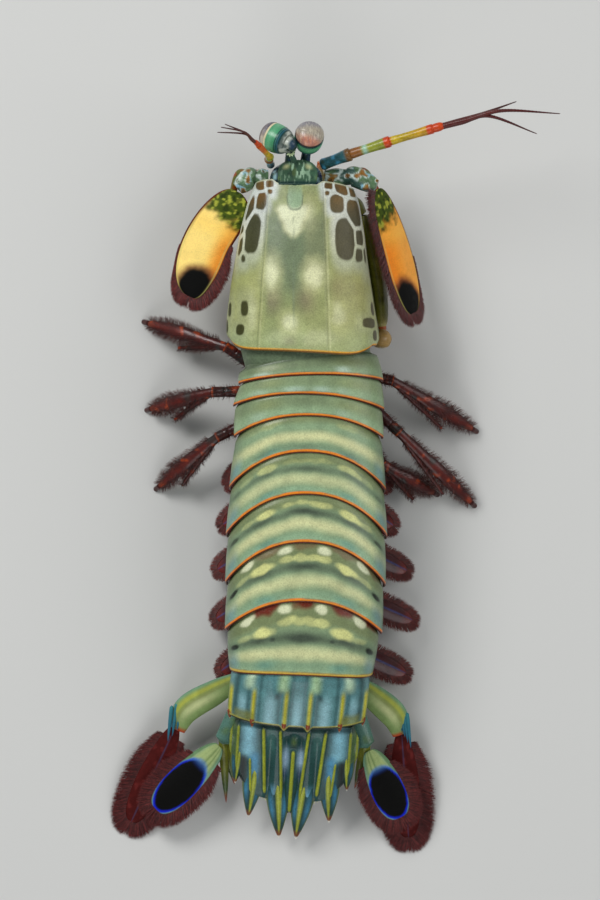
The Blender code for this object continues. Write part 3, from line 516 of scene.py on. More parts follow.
EDGES = body_sections()


def ring_middle(name):
    """The section in the middle of one body ring."""
    names = list(EDGES)
    return EDGES[names[names.index(name) - 1]].mixed(EDGES[name], 0.55)


def carapace_frame(share):
    """The place and the directions on the middle of the carapace, a share of its length back."""
    crown = 0.9 * math.sin(math.pi * share)
    point = between(CARAPACE_FRONT, CARAPACE_REAR, share) + vec(0, 0, crown)
    return Section(point, CARAPACE_FRONT - CARAPACE_REAR, (), CARAPACE_ROLL)


def core_section(station):
    """The body's section under the carapace, at one of its stations."""
    share, half, dome, _ = CARAPACE[1:-2][station]
    held = carapace_frame(share)
    depth = STERNUM_DEPTH - 4.0 * (1 - share) ** 2
    sizes = (half - CORE_INSET, dome - CORE_INSET, dome + 0.4, depth - CORE_INSET, 2.2 * (1 - share) ** 3)
    return Section(held.at(0, CORE_INSET), held.ahead, sizes, CARAPACE_ROLL)


def over_back(half, dome, low, dome_columns, side_columns, low_half=0.99):
    """(across, depth) arrays from the left lower edge over the back to the right one."""
    angle = np.linspace(-math.pi / 2, math.pi / 2, dome_columns)
    across = half * np.sign(np.sin(angle)) * np.abs(np.sin(angle)) ** SUPER
    depth = dome * (1 - np.abs(np.cos(angle)) ** SUPER)
    share = np.linspace(1, 0, side_columns, endpoint=False)
    side_across = half * (1 + (low_half - 1) * share)
    side_depth = dome + (low - dome) * share
    return (np.concatenate([-side_across, across, side_across[::-1]]),
            np.concatenate([side_depth, depth, side_depth[::-1]]))


def from_edge(outer):
    """How far each point lies in front of the plate's rear margin, along its surface."""
    steps = np.linalg.norm(np.diff(outer, axis=0), axis=-1)
    far = np.cumsum(steps[::-1], axis=0)[::-1]
    return np.concatenate([far, np.zeros((1, outer.shape[1]))])


def plate_grid(front, rear, rows, start=-0.14, broad=False):
    """The outer face of one ring's plate, with the places on it: across and down as shares of the
    half width and of the side, and along from the front (0) to the rear margin (1). It starts ahead
    of the front by the share start, and a broad plate keeps the rear margin's outline."""
    shares = np.linspace(start, 1.0, rows)
    grid, across_shares, down_shares = [], [], []
    reach = np.linalg.norm(rear.point - front.point)
    for share in shares:
        held = front.mixed(rear, max(share, 0.0))
        if broad:
            held.half = rear.half * (1 - 0.06 * soft(share, 0.3, start) ** 2)
            held.dome, held.pleuron = rear.dome, rear.pleuron
        corner = 1 - 0.10 * abs(2 * max(share, 0.0) - 1) ** 5
        across, depth = over_back(held.half, held.dome, held.pleuron * corner,
                                  DOME_COLUMNS, SIDE_COLUMNS)
        scale = (0.94 + 0.045 * soft(share, start + 0.12, start + 0.30) + 0.014 * soft(share, 0.1, 0.6)
                 + 0.012 * soft(share, 0.5, 1.0) + 0.006 * hump(share, 0.55, 0.5))
        middle = held.dome * 0.8
        wide, deep = across * scale, middle + (depth - middle) * scale
        grid.append(held.at(wide, deep, held.swept(wide, deep) + min(share, 0.0) * reach))
        across_shares.append(across / held.half)
        down_shares.append(np.clip((depth - held.dome * 0.55) / (held.pleuron - held.dome * 0.55), 0, 1))
    return np.array(grid), np.array(across_shares), np.array(down_shares), shares[:, None]


def margin_lines(paint, edge, a, line=ORANGE, wide=0.48):
    """The bright line along a plate's rear margin, with a dark red one on the very edge, partly the rim's own
    dark red and partly painted shadow in the gap under it.
    """
    wander = 0.08 * noise(paint.points, 1.5, 5)
    paint.lay(DARK_RED, soft(edge, wide + 0.26 + wander, wide + 0.06 + wander) * 0.5)
    paint.lay(line, soft(edge, wide + 0.14 + wander, wide - 0.06 + wander))
    paint.lay(colour(250, 176, 60), hump(edge, wide * 0.62, 0.2) * 0.35 * soft(np.abs(a), 1.1, 0.6))
    # Painted shadow under the rear edge, laid over the rim's own dark red
    paint.lay(DARK_RED, soft(edge, 0.22, 0.10))


def blob(a, t, middle, place, wide, long, ragged=0.0):
    """A soft, uneven oval: 1 inside it and 0 outside."""
    return soft(np.hypot((a - middle) / wide, (t - place) / long) + ragged, 1.25, 0.6)


def paint_thorax(points, a, down, t, edge, order):
    """The free rings of the thorax: plain grey-green, paler and bluish towards the rear."""
    paint = Paint(points, GREY_GREEN * (1.25 if order == 0 else 1.45))
    paint.lay(PALE_GREEN, soft(t, 0.35, 0.85) * (0.45 + 0.2 * order))
    paint.lay(colour(172, 196, 178), hump(t, 0.78, 0.28) * (hump(a, -0.2, 0.25) + hump(a, 0.16, 0.2)) * 0.7
              * (order == 1))
    paint.lay(colour(182, 204, 186), hump(t, 0.75, 0.3) * (hump(a, 0.45, 0.16) + hump(a, -0.68, 0.2))
              * (0.75 if order == 0 else 0.3))
    paint.lay(OLIVE, hump(t, 0.35, 0.4) * (hump(a, 0.6, 0.4) + hump(a, -0.55, 0.3)) * 0.5)
    # Painted shade at the plate's front, under the rear edge of the plate ahead
    paint.lay(SHADE, soft(t, 0.16, -0.02) * 0.55)
    paint.lay(SHADE, hump(a, 0.0, 0.035) * 0.22)
    paint.lay(BONE, soft(down, 0.25, 0.8) * 0.55)
    paint.mottle(2.4, 0.10, 3).mottle(0.9, 0.06, 4)
    margin_lines(paint, edge, a, ORANGE, 0.40)
    return paint.tint


# Marks on each ring of the abdomen. band: where the dark band lies and its strength. cream: where
# the pale band lies, its reach and its strength. row: where the yellow blotches lie and how bright
# they are. red and black: how strong those marks are
ABDOMEN_MARKS = {
    1: dict(band=(0.84, 0.5), cream=(0.56, 0.22, 1.0), row=(0.12, 0.2), red=0.0, black=0.0),
    2: dict(band=(0.38, 0.8), cream=(0.62, 0.22, 0.7), row=(0.20, 0.5), red=0.0, black=0.3),
    3: dict(band=(0.38, 1.0), cream=(0.62, 0.20, 0.95), row=(0.20, 0.9), red=0.0, black=0.7),
    4: dict(band=(0.42, 1.0), cream=(0.65, 0.17, 0.85), row=(0.27, 1.0), red=0.45, black=1.0),
    5: dict(band=(0.50, 1.15), cream=(0.71, 0.15, 0.9), row=(0.29, 1.0), red=1.0, black=1.25),
}


def paint_abdomen(points, a, down, t, edge, index):
    """One ring of the abdomen, with its cross bands, blotches and spots, and painted shade on its flanks."""
    marks = ABDOMEN_MARKS[index]
    wander = 0.03 * noise(points, 5.0, index) + 0.015 * noise(points, 1.6, index + 9)
    t = t + wander
    paint = Paint(points, between(PALE_GREEN, GREY_GREEN, 0.35))
    band, dark = marks["band"]
    pale, reach, bright_cream = marks["cream"]
    row, bright = marks["row"]
    lobes = 0.62 + 0.38 * hump(a, 0.0, 0.35) + 0.22 * (hump(a, -0.56, 0.2) + hump(a, 0.56, 0.2))
    paint.lay(between(GREY_GREEN, OLIVE, 0.4), soft(t, row + 0.16, row - 0.05))
    paint.lay(CREAM, hump(t, pale, reach) * bright_cream * (1 - 0.45 * soft(np.abs(a), 0.7, 1.0)))
    paint.lay(PALE_GREEN, soft(t, pale + 0.14, pale + 0.3) * 0.9)
    paint.lay(TEAL, hump(t, 0.88, 0.12) * (hump(a, -0.5, 0.22) + hump(a, 0.52, 0.22) + 0.35) * 0.6)
    paint.lay(SHADE, hump(t, band, 0.15) * lobes * dark * (1 - 0.35 * soft(np.abs(a), 0.72, 0.95)))
    yellow = colour(212, 214, 140)
    ragged = 0.45 * noise(points, 1.6, index + 20)
    group = np.clip(bright * 1.2 - 0.35, 0, 1) * 0.85
    for middle, half in ((-0.22, 0.11), (-0.06, 0.12), (0.10, 0.12), (0.24, 0.10)):
        paint.lay(yellow, blob(a, t, middle, row, half, 0.065, ragged) * group * 0.8)
    shift = 0.10 if index == 5 else 0.05
    for side in (-1, 1):
        paint.lay(yellow, blob(a, t, side * 0.53, row + shift, 0.15, 0.085, ragged * 0.6) * bright)
        paint.lay(yellow, blob(a, t, side * 0.76, row + shift + 0.02, 0.10, 0.06, ragged) * bright * 0.35)
        paint.lay(BLACK, blob(a, t, side * 0.90, band + 0.02, 0.055, 0.055) * min(marks["black"], 1.0))
        if index == 5:
            paint.lay(SHADE, blob(a, t, side * 0.40, band + 0.01, 0.04, 0.03))
    if marks["red"]:
        for middle, half in ((-0.50, 0.19), (0.0, 0.17), (0.52, 0.19), (0.88, 0.12)):
            paint.lay(colour(104, 34, 14), blob(a, t, middle, 0.0, half, 0.14, ragged * 0.7) * marks["red"])
        for middle in (-0.74, -0.26, 0.23, 0.74):
            paint.lay(BONE, blob(a, t, middle, 0.11, 0.085, 0.075, ragged * 0.8) * 0.95)
    paint.lay(colour(120, 165, 176), hump(np.abs(a), 0.93, 0.12) * hump(t, 0.8, 0.3) * 0.6)
    # Painted shade: the flanks darkened where the body rounds away from the light
    paint.lay(colour(66, 84, 62), soft(np.abs(a), 0.80, 1.0) * 0.40)
    paint.lay(between(TEAL, DEEP_TEAL, 0.35), soft(down, 0.15, 0.7) * 0.7)
    paint.lay(colour(166, 190, 120), soft(down, 0.8, 1.0) * 0.5)
    paint.mottle(2.2, 0.09, 3).mottle(0.8, 0.06, 4)
    if index < 5:
        margin_lines(paint, edge, a)
    else:
        margin_lines(paint, edge, a, colour(196, 170, 70), 0.5)
    return paint.tint


def make_plates():
    """The free plates of the thorax and the first five of the abdomen, each over the next."""
    names = list(EDGES)
    for i, name in enumerate(names[1:-1]):
        front, rear = EDGES[names[i]], EDGES[name]
        rows = int(np.linalg.norm(rear.point - front.point) * 3.2) + 16
        first = name == "thorax_6"
        outer, a, down, t = plate_grid(front, rear, rows, -0.34 if first else -0.14, first)
        edge = from_edge(outer)
        order = int(name[-1])
        if "thorax" in name:
            tint = paint_thorax(outer, a, down, t, edge, order - 6)
        else:
            tint = paint_abdomen(outer, a, down, t, edge, order)
        piece = Piece("plate_" + name)
        piece.sheet(outer, tint, 0.4, DARK_RED, PALE_GREEN * 0.6)
        piece.done(FINISHES["tergite"], "shell_thorax" if "thorax" in name else "shell_abdomen", name)


def make_body_skin():
    """The soft underside and sides, one skin from behind the mouth to the last ring."""
    sections = [(core_section(station), 0.985) for station in range(len(CARAPACE[1:-2]))]
    names = list(EDGES)
    sections.append((EDGES[names[0]], 0.985))
    for first, second in zip(names[:-1], names[1:]):
        for share in (0.12, 0.3, 0.5, 0.7, 0.88, 1.0):
            sections.append((EDGES[first].mixed(EDGES[second], share),
                             0.955 - 0.02 * hump(share, 1.0, 0.2)))
    rings, lows = [], []
    for held, scale in sections:
        angle = np.linspace(-math.pi / 2, math.pi / 2, 33)
        across = held.half * np.sign(np.sin(angle)) * np.abs(np.sin(angle)) ** SUPER
        depth = held.dome * (1 - np.abs(np.cos(angle)) ** SUPER)
        right = np.array([(0.99, held.pleuron * 0.5 + held.dome * 0.5), (0.97, held.pleuron * 0.92),
                          (0.88, held.pleuron), (0.78, held.belly - 0.9), (0.66, held.belly - 0.45),
                          (0.48, held.belly - 0.15), (0.3, held.belly), (0.12, held.belly - 0.25)])
        across = np.concatenate([across, right[:, 0] * held.half, -right[::-1, 0] * held.half])
        depth = np.concatenate([depth, right[:, 1], right[::-1, 1]])
        middle = held.dome * 0.8
        wide, deep = across * scale, middle + (depth - middle) * scale
        rings.append(held.at(wide, deep, held.swept(wide, deep)))
        lows.append(np.clip((deep - held.dome) / (held.belly - held.dome), 0, 1))
    rings, lows = np.array(rings), np.array(lows)
    paint = Paint(rings, between(DEEP_TEAL, GREY_GREEN, 0.75))
    paint.lay(colour(158, 172, 130), soft(lows, 0.45, 1.0) * 0.85)
    paint.lay(colour(128, 60, 50), soft(lows, 0.6, 0.9) * soft(noise(rings, 3.2, 8), 0.1, 0.5) * 0.4)
    paint.mottle(3.0, 0.15, 2)
    piece = Piece("body_skin")
    piece.tube(rings, paint.tint)
    piece.done(FINISHES["flesh"], "underside", "thorax_front")


# The carapace's marks, as photo pixels: middle across, middle down, width, height and lean
DARK_SPOTS = (
    (260.3, 185.6, 7.6, 10.5, 0.0), (269.6, 184.6, 6.6, 6.6, 0.0), (269.8, 191.6, 3.0, 4.0, 0.0),
    (260.7, 201.3, 9.6, 16.5, -0.1), (250.2, 209.6, 5.4, 28.0, -0.33), (252.3, 234.0, 13.8, 38.5, -0.12),
    (242.6, 229.4, 3.6, 10.5, -0.3), (240.6, 246.2, 4.6, 18.0, -0.2), (243.2, 258.8, 3.0, 6.5, 0.0),
    (229.6, 309.6, 5.0, 13.0, 0.0), (244.8, 309.0, 6.0, 14.5, 0.0), (227.0, 326.0, 5.0, 12.0, 0.0),
    (240.6, 330.0, 7.0, 9.5, 0.0),
    (328.4, 186.8, 7.2, 7.0, 0.0), (341.6, 190.0, 11.0, 11.0, 0.5), (352.5, 193.6, 6.4, 9.6, 0.3),
    (337.0, 204.8, 12.6, 17.0, 0.05), (354.4, 214.0, 12.6, 27.5, 0.16), (344.5, 240.0, 18.5, 41.0, 0.03),
    (360.0, 238.6, 8.4, 17.0, 0.1), (359.0, 255.5, 6.8, 14.0, 0.0), (365.0, 256.2, 3.4, 14.0, 0.1),
    (327.2, 193.6, 3.0, 4.0, 0.0),
    (372.8, 309.0, 5.0, 12.0, 0.0), (369.4, 323.4, 13.0, 9.0, 0.0), (374.6, 336.0, 6.0, 9.0, 0.0),
)
# Pale patches: middle across, middle down, width, height and strength
PALE_PATCHES = (
    (309, 214, 8, 18, 0.45), (271.5, 275, 11.5, 22, 0.95), (314, 276, 16, 22, 0.95), (290, 323, 14, 15, 0.75),
    (338, 316, 11, 19, 0.5), (252.5, 315, 7, 28, 0.35), (281, 338, 26, 14, 0.2), (318, 339, 34, 14, 0.25),
)
# The two long grooves, each from its front to its rear, in the photo's pixels
GROOVES = (((268.0, 190.0), (257.0, 350.0)), ((323.0, 190.0), (328.5, 352.0)))


def plan(points):
    """Where the points lie in the photo, in its pixels."""
    return PHOTO_MIDDLE[0] + points[..., 0] / PIXEL, PHOTO_MIDDLE[1] - points[..., 1] / PIXEL


def spot_distance(px, py, x, y, wide, high, power=2.4, lean=0.0):
    """How far outside (above 0) or inside (below 0) a rounded spot each pixel lies. lean is how far
    it goes across for each step down."""
    across = px - x - lean * (py - y)
    radius = (np.abs(across / (wide / 2)) ** power + np.abs((py - y) / (high / 2)) ** power) ** (1 / power)
    return (radius - 1) * min(wide, high) / 2


def unfold_across(px, outer):
    """The photo's across, with the steep sides unfolded, so that marks keep their size there."""
    steps = np.linalg.norm(np.diff(outer, axis=1), axis=-1) / PIXEL
    drift = np.diff(px, axis=1)
    extra = np.cumsum(np.where(np.abs(drift) < 0.55 * steps, steps - np.abs(drift), 0.0), axis=1)
    middle = extra.shape[1] // 2
    extra = np.concatenate([np.zeros((len(px), 1)), extra], axis=1)
    return px + (extra - extra[:, middle:middle + 1]) * 0.6


def make_carapace():
    """The big shield over the head and the front of the body."""
    rows, columns, wing_columns = 176, 190, 30
    shares = 0.5 - 0.5 * np.cos(np.linspace(0, math.pi, rows))
    shares = between(np.linspace(0, 1, rows), shares, 0.5)
    half, dome, wing = smooth_between(shares, CARAPACE)
    grid, down = [], []
    for k, share in enumerate(shares):
        across, depth = over_back(half[k], dome[k], wing[k], columns, wing_columns, 0.97)
        wide = np.minimum(np.abs(across) / (0.97 * half[k]), 1.0)
        bay = 0.85 * soft(np.abs(across + 0.75), 5.6, 4.0) + 0.05 * across - 0.3
        back = (FRONT_CORNER * wide ** 6 + bay) * (1 - share) ** 4
        back = back - (0.5 - 0.045 * across) * share ** 4
        back = back - 0.16 * np.maximum(depth - dome[k] * 0.6, 0) * soft(share, 0.7, 1.0)
        back = back - REAR_CORNER * (max(share - 0.8, 0.0) / 0.2) ** 1.5 * wide ** 8
        grid.append(carapace_frame(share).at(across, depth, back))
        down.append(np.clip((depth - dome[k]) / (wing[k] - dome[k]), 0, 1))
    outer, down = np.array(grid), np.array(down)
    outer[..., 0] -= 0.75 * np.sin(math.pi * shares[:, None])
    px, py = plan(outer)
    t = shares[:, None]
    for (x1, y1), (x2, y2) in GROOVES:
        line = x1 + (x2 - x1) * (py - y1) / (y2 - y1)
        outer[..., 2] -= 0.16 * hump(px, line, 2.2)
    outer[..., 2] -= 0.10 * hump(px, 294.0, 8.5) * soft(py, 214, 206) * soft(np.abs(px - 294), 3, 8)
    edge = from_edge(outer)
    side = unfold_across(px, outer)
    inner = soft(px, 262, 270) * soft(px, 330, 322)
    paint = Paint(outer, OLIVE)
    left_field = soft(px, 268, 255)
    right_field = soft(px, 326, 338)
    paint.lay(colour(156, 158, 96), (left_field + right_field) * soft(py, 250, 280) * 0.6)
    paint.lay(colour(216, 212, 158), (left_field + right_field) * soft(py, 268, 225) * 0.95)
    paint.lay(GREY_GREEN, inner * soft(py, 198, 226) * soft(py, 300, 262) * 0.95)
    paint.lay(GREY_GREEN, hump(px, 293, 26) * hump(py, 282, 34) * 0.8)
    paint.lay(colour(118, 112, 84), inner * hump(py, 301, 24) * (hump(px, 272, 17) + hump(px, 305, 17))
              * 0.85)
    paint.lay(colour(126, 120, 84), hump(px, 338, 16) * hump(py, 288, 22) * 0.6)
    paint.lay(colour(140, 134, 84), hump(px, 357, 20) * hump(py, 290, 34) * 0.5)
    paint.lay(colour(128, 138, 96), (hump(px, 279, 12) + hump(px, 312, 12)) * soft(py, 208, 190) * 0.5)
    paint.lay(colour(150, 166, 116), soft(py, 318, 345) * 0.7)
    paint.lay(colour(112, 108, 88), hump(px, 290, 12) * hump(py, 342, 8) * 0.6)
    halo = np.zeros_like(px)
    near = np.full_like(px, 99.0)
    next_near = np.full_like(px, 99.0)
    grain = noise(outer, 1.3, 3)
    for x, y, wide, high, lean in DARK_SPOTS:
        row = int(np.argmin(np.abs(py[:, px.shape[1] // 2] - y)))
        column = wing_columns + int(np.argmin(np.abs(px[row, wing_columns:-wing_columns] - x)))
        x = side[row, column]
        out = spot_distance(side, py, x, y, wide + 1.5, high + 1.5, 2.8, lean)
        halo = np.maximum(halo, soft(out, 9.0, 1.0) * (0.95 if y < 280 else 0.3))
        next_near = np.minimum(next_near, np.maximum(near, out))
        near = np.minimum(near, out)
    dark = soft(near + 0.4 * grain, 0.6, -0.6) * soft(next_near - near, 1.4, 2.6)
    front = soft(py, 262, 205)
    paint.lay(between(CREAM, LAVENDER, 0.75), halo * (0.35 + 0.6 * front))
    for x, y, wide, high, strength in PALE_PATCHES:
        out = spot_distance(px, py, x, y, wide, high, 2.0) + 1.5 * grain
        paint.lay(BONE, soft(out, 4.8, -4.0) * strength)
        paint.lay(colour(206, 206, 150), soft(out, 11.0, 2.0) * strength * 0.35)
    vee = np.abs(px - 293.0) - 14.5 * np.clip((240 - py) / 30, 0, 1) ** 0.7 + 1.5 * grain
    paint.lay(colour(206, 206, 160), soft(vee, 6.0, -1.0) * soft(py, 202, 212) * soft(py, 243, 234) * 0.7)
    paint.lay(BONE, soft(vee, 2.5, -3.5) * soft(py, 203, 210) * soft(py, 241, 232) * 0.95)
    notch = spot_distance(px, py, 295, 196, 15, 28, 3.0)
    paint.lay(colour(140, 166, 130), soft(notch, 0.8, -1.4) * (0.45 + 0.5 * soft(py, 186, 197)))
    paint.lay(colour(86, 106, 84), hump(notch, 0.3, 1.1) * 0.75 * soft(py, 190, 201))
    paint.lay(colour(112, 126, 100), hump(px, 293.5, 0.9) * soft(py, 214, 222) * soft(py, 350, 332) * 0.45)
    for (x1, y1), (x2, y2) in GROOVES:
        line = x1 + (x2 - x1) * (py - y1) / (y2 - y1)
        paint.lay(colour(98, 104, 72), hump(px, line, 1.0) * 0.5)
        paint.lay(colour(206, 206, 160), hump(px, line + 2.0, 1.0) * 0.35)
    paint.lay(colour(200, 208, 200), soft(edge[::-1], 2.6, 1.2) * soft(np.abs(px - 294), 24, 30) * 0.5)
    paint.mottle(2.0, 0.07, 5).mottle(0.7, 0.07, 6)
    paint.lay(colour(122, 138, 84), soft(down, 0.12, 0.4) * soft(px, 300, 290) * 0.4)
    paint.lay(colour(96, 108, 60), soft(down, 0.1, 0.5) * soft(px, 300, 310) * 0.75)
    warm = soft(py, 222, 190) * (0.55 + 0.45 * soft(noise(outer, 1.1, 8), -0.5, 0.4))
    # Painted light and shade: the same dark spots are lighter on the left half and darker on the right, as
    # the light falls
    paint.lay(colour(51, 52, 10), dark * soft(px, 300, 290) * 0.97)
    paint.lay(colour(29, 30, 5), dark * soft(px, 290, 300) * 0.97)
    paint.lay(colour(112, 78, 26), dark * warm * 0.8)
    paint.lay(colour(226, 206, 150), hump(down, 0.05, 0.06) * soft(px, 300, 310) * soft(py, 186, 200))
    paint.lay(colour(196, 190, 110), soft(down, 0.90, 0.97))
    paint.lay(colour(214, 150, 36), soft(edge, 0.5, 0.34) * (0.65 + 0.35 * np.abs(px - 290) / 60))
    paint.lay(colour(110, 66, 22), soft(edge, 0.16, 0.06))
    paint.lay(colour(176, 180, 150), soft(t, 0.012, 0.004) * 0.8)
    piece = Piece("carapace_shield")
    piece.sheet(outer, paint.tint, 0.5, colour(110, 84, 36), colour(150, 160, 120), 16)
    piece.done(FINISHES["carapace"], "shell_front", "carapace")


# The tail: the last ring with its ridges, the telson with its teeth, and the fan

# The telson's hinge, pitch and yaw, its half widths at places behind it, and how far its sides fall
TELSON_BASE = vec(-1.1, -59.9, 15.6)
TELSON_PITCH = math.radians(25.0)
TELSON_YAW = math.radians(-4.0)
TELSON = ((-1.0, 12.6), (0.0, 13.0), (2.5, 13.9), (7.5, 13.4), (11.5, 11.9), (14.6, 9.8), (16.4, 7.6),
          (17.2, 5.2), (18.4, 3.4), (19.8, 2.2))
TELSON_HALF = 13.9
TELSON_ARCH = 1.6
# Where each tooth starts and ends, as (across, back), and its half width
TEETH = (((3.0, 13.0), (1.8, 26.6), 2.5), ((8.0, 10.0), (8.7, 22.4), 2.3), ((11.6, 6.0), (12.0, 14.6), 1.6))
# Each ridge: how far across, where it starts and ends behind the base, its width and height
RIDGES = ((0.0, 4.2, 19.6, 0.62, 0.6), (3.1, -0.6, 17.2, 0.5, 0.5), (6.7, -0.6, 15.4, 0.55, 0.5),
          (9.2, 7.0, 16.0, 0.42, 0.45), (12.0, -0.6, 13.0, 0.5, 0.5), (13.5, -0.6, 12.0, 0.42, 0.35))
# How far across the last ring's ridges lie
CARINAE = (2.55, 9.4, 14.3)


def paint_last_ring(points, across, t, down, edge, ridge):
    """The last ring before the telson: yellow ridges over a blue and teal ground."""
    paint = Paint(points, between(BLUE, TEAL, 0.6) * 0.8)
    a = np.abs(across)
    for middle in (5.9, 11.8, 0.0):
        paint.lay(colour(140, 184, 192), hump(a, middle, 1.9) * soft(t, 0.3, 0.65) * 0.85)
    paint.lay(DEEP_TEAL, (hump(a, 1.4, 0.8) + hump(a, 4.0, 0.8) + hump(a, 8.2, 0.7) + hump(a, 10.6, 0.7))
              * 0.5)
    paint.lay(DEEP_TEAL, (hump(a, 13.2, 1.0) + soft(down, 0.2, 0.6) * 0.6) * 0.7)
    paint.lay(colour(150, 182, 138), hump(a, 3.4, 2.0) * soft(t, 0.42, 0.25))
    paint.lay(colour(176, 204, 172), hump(a, 10.6, 1.8) * soft(t, 0.40, 0.2))
    paint.lay(DEEP_TEAL, hump(a, 4.6, 0.9) * hump(t, 0.44, 0.12) * 0.9)
    paint.lay(YELLOW, ridge * soft(t, 0.2, 0.45))
    paint.lay(colour(122, 52, 18), ridge * soft(t, 0.86, 0.97))
    paint.lay(colour(120, 124, 52), soft(a, 8.6, 10.0) * soft(a, 14.0, 12.5) * soft(t, 0.72, 0.86) * 0.8)
    paint.lay(colour(160, 154, 70), soft(edge, 0.5, 0.32))
    paint.lay(DEEP_TEAL * 0.6, soft(edge, 0.16, 0.06))
    # Painted shade along the ring's front, under the rear edge of the plate ahead
    paint.lay(SHADE * 0.5, soft(t, 0.05, -0.05))
    paint.mottle(1.6, 0.14, 2).mottle(0.6, 0.08, 7)
    return paint.tint


def make_last_ring():
    """The last ring's plate, with its six ridges and the spine behind each."""
    front, rear = EDGES["abdomen_5"], EDGES["abdomen_6"]
    outer, a, down, t = plate_grid(front, rear, 56)
    across = a * between(front.half, rear.half, 0.6)
    ridge = sum(hump(np.abs(across), place, 0.75) for place in CARINAE) * soft(t, 0.12, 0.4)
    swell = (hump(np.abs(across), 3.6, 2.2) * soft(t, 0.5, 0.25)
             + hump(np.abs(across), 10.8, 2.0) * soft(t, 0.45, 0.2))
    outer += (rear.up * (0.55 * ridge + 0.45 * swell * soft(t, 0.0, 0.1))[..., None]
              * (1 - down[..., None]))
    outer -= rear.ahead * (0.9 * hump(np.abs(across), CARINAE[0], 1.2) * soft(t, 0.7, 1.0))[..., None]
    edge = from_edge(outer)
    piece = Piece("plate_abdomen_6")
    tint = paint_last_ring(outer, across, t, down, edge, ridge)
    piece.sheet(outer, tint, 0.6, colour(70, 60, 24), DEEP_TEAL)
    for place in CARINAE:
        for side in (-1, 1):
            depth = rear.dome * (1 - max(0.0, 1 - (place / rear.half) ** (2 / SUPER)) ** (SUPER / 2))
            start = rear.at(side * place, depth - 0.15, rear.swept(place, depth) - 1.0)
            tip = rear.at(side * place * 0.99, depth - 0.05, rear.swept(place, depth) + 1.3)
            rings = limb(stations(start, tip, ((0, 0.5), (0.5, 0.45), (1, 0.06))), 10, 10, rear.up)
            paint = Paint(rings, colour(130, 58, 22))
            paint.lay(BONE, soft(shares_along(rings), 0.75, 1.0) * 0.7)
            piece.tube(rings, paint.tint)
    piece.done(FINISHES["tail"], "tail_shell", "abdomen_6")


def telson_frame():
    """The place and the directions at the telson's hinge."""
    ahead = vec(-math.sin(TELSON_YAW), math.cos(TELSON_YAW), math.tan(TELSON_PITCH))
    return Section(TELSON_BASE, ahead)


def telson_fall(across):
    """How far the telson's arched face lies below its middle line, so far across."""
    return TELSON_ARCH * (across / TELSON_HALF) ** 2


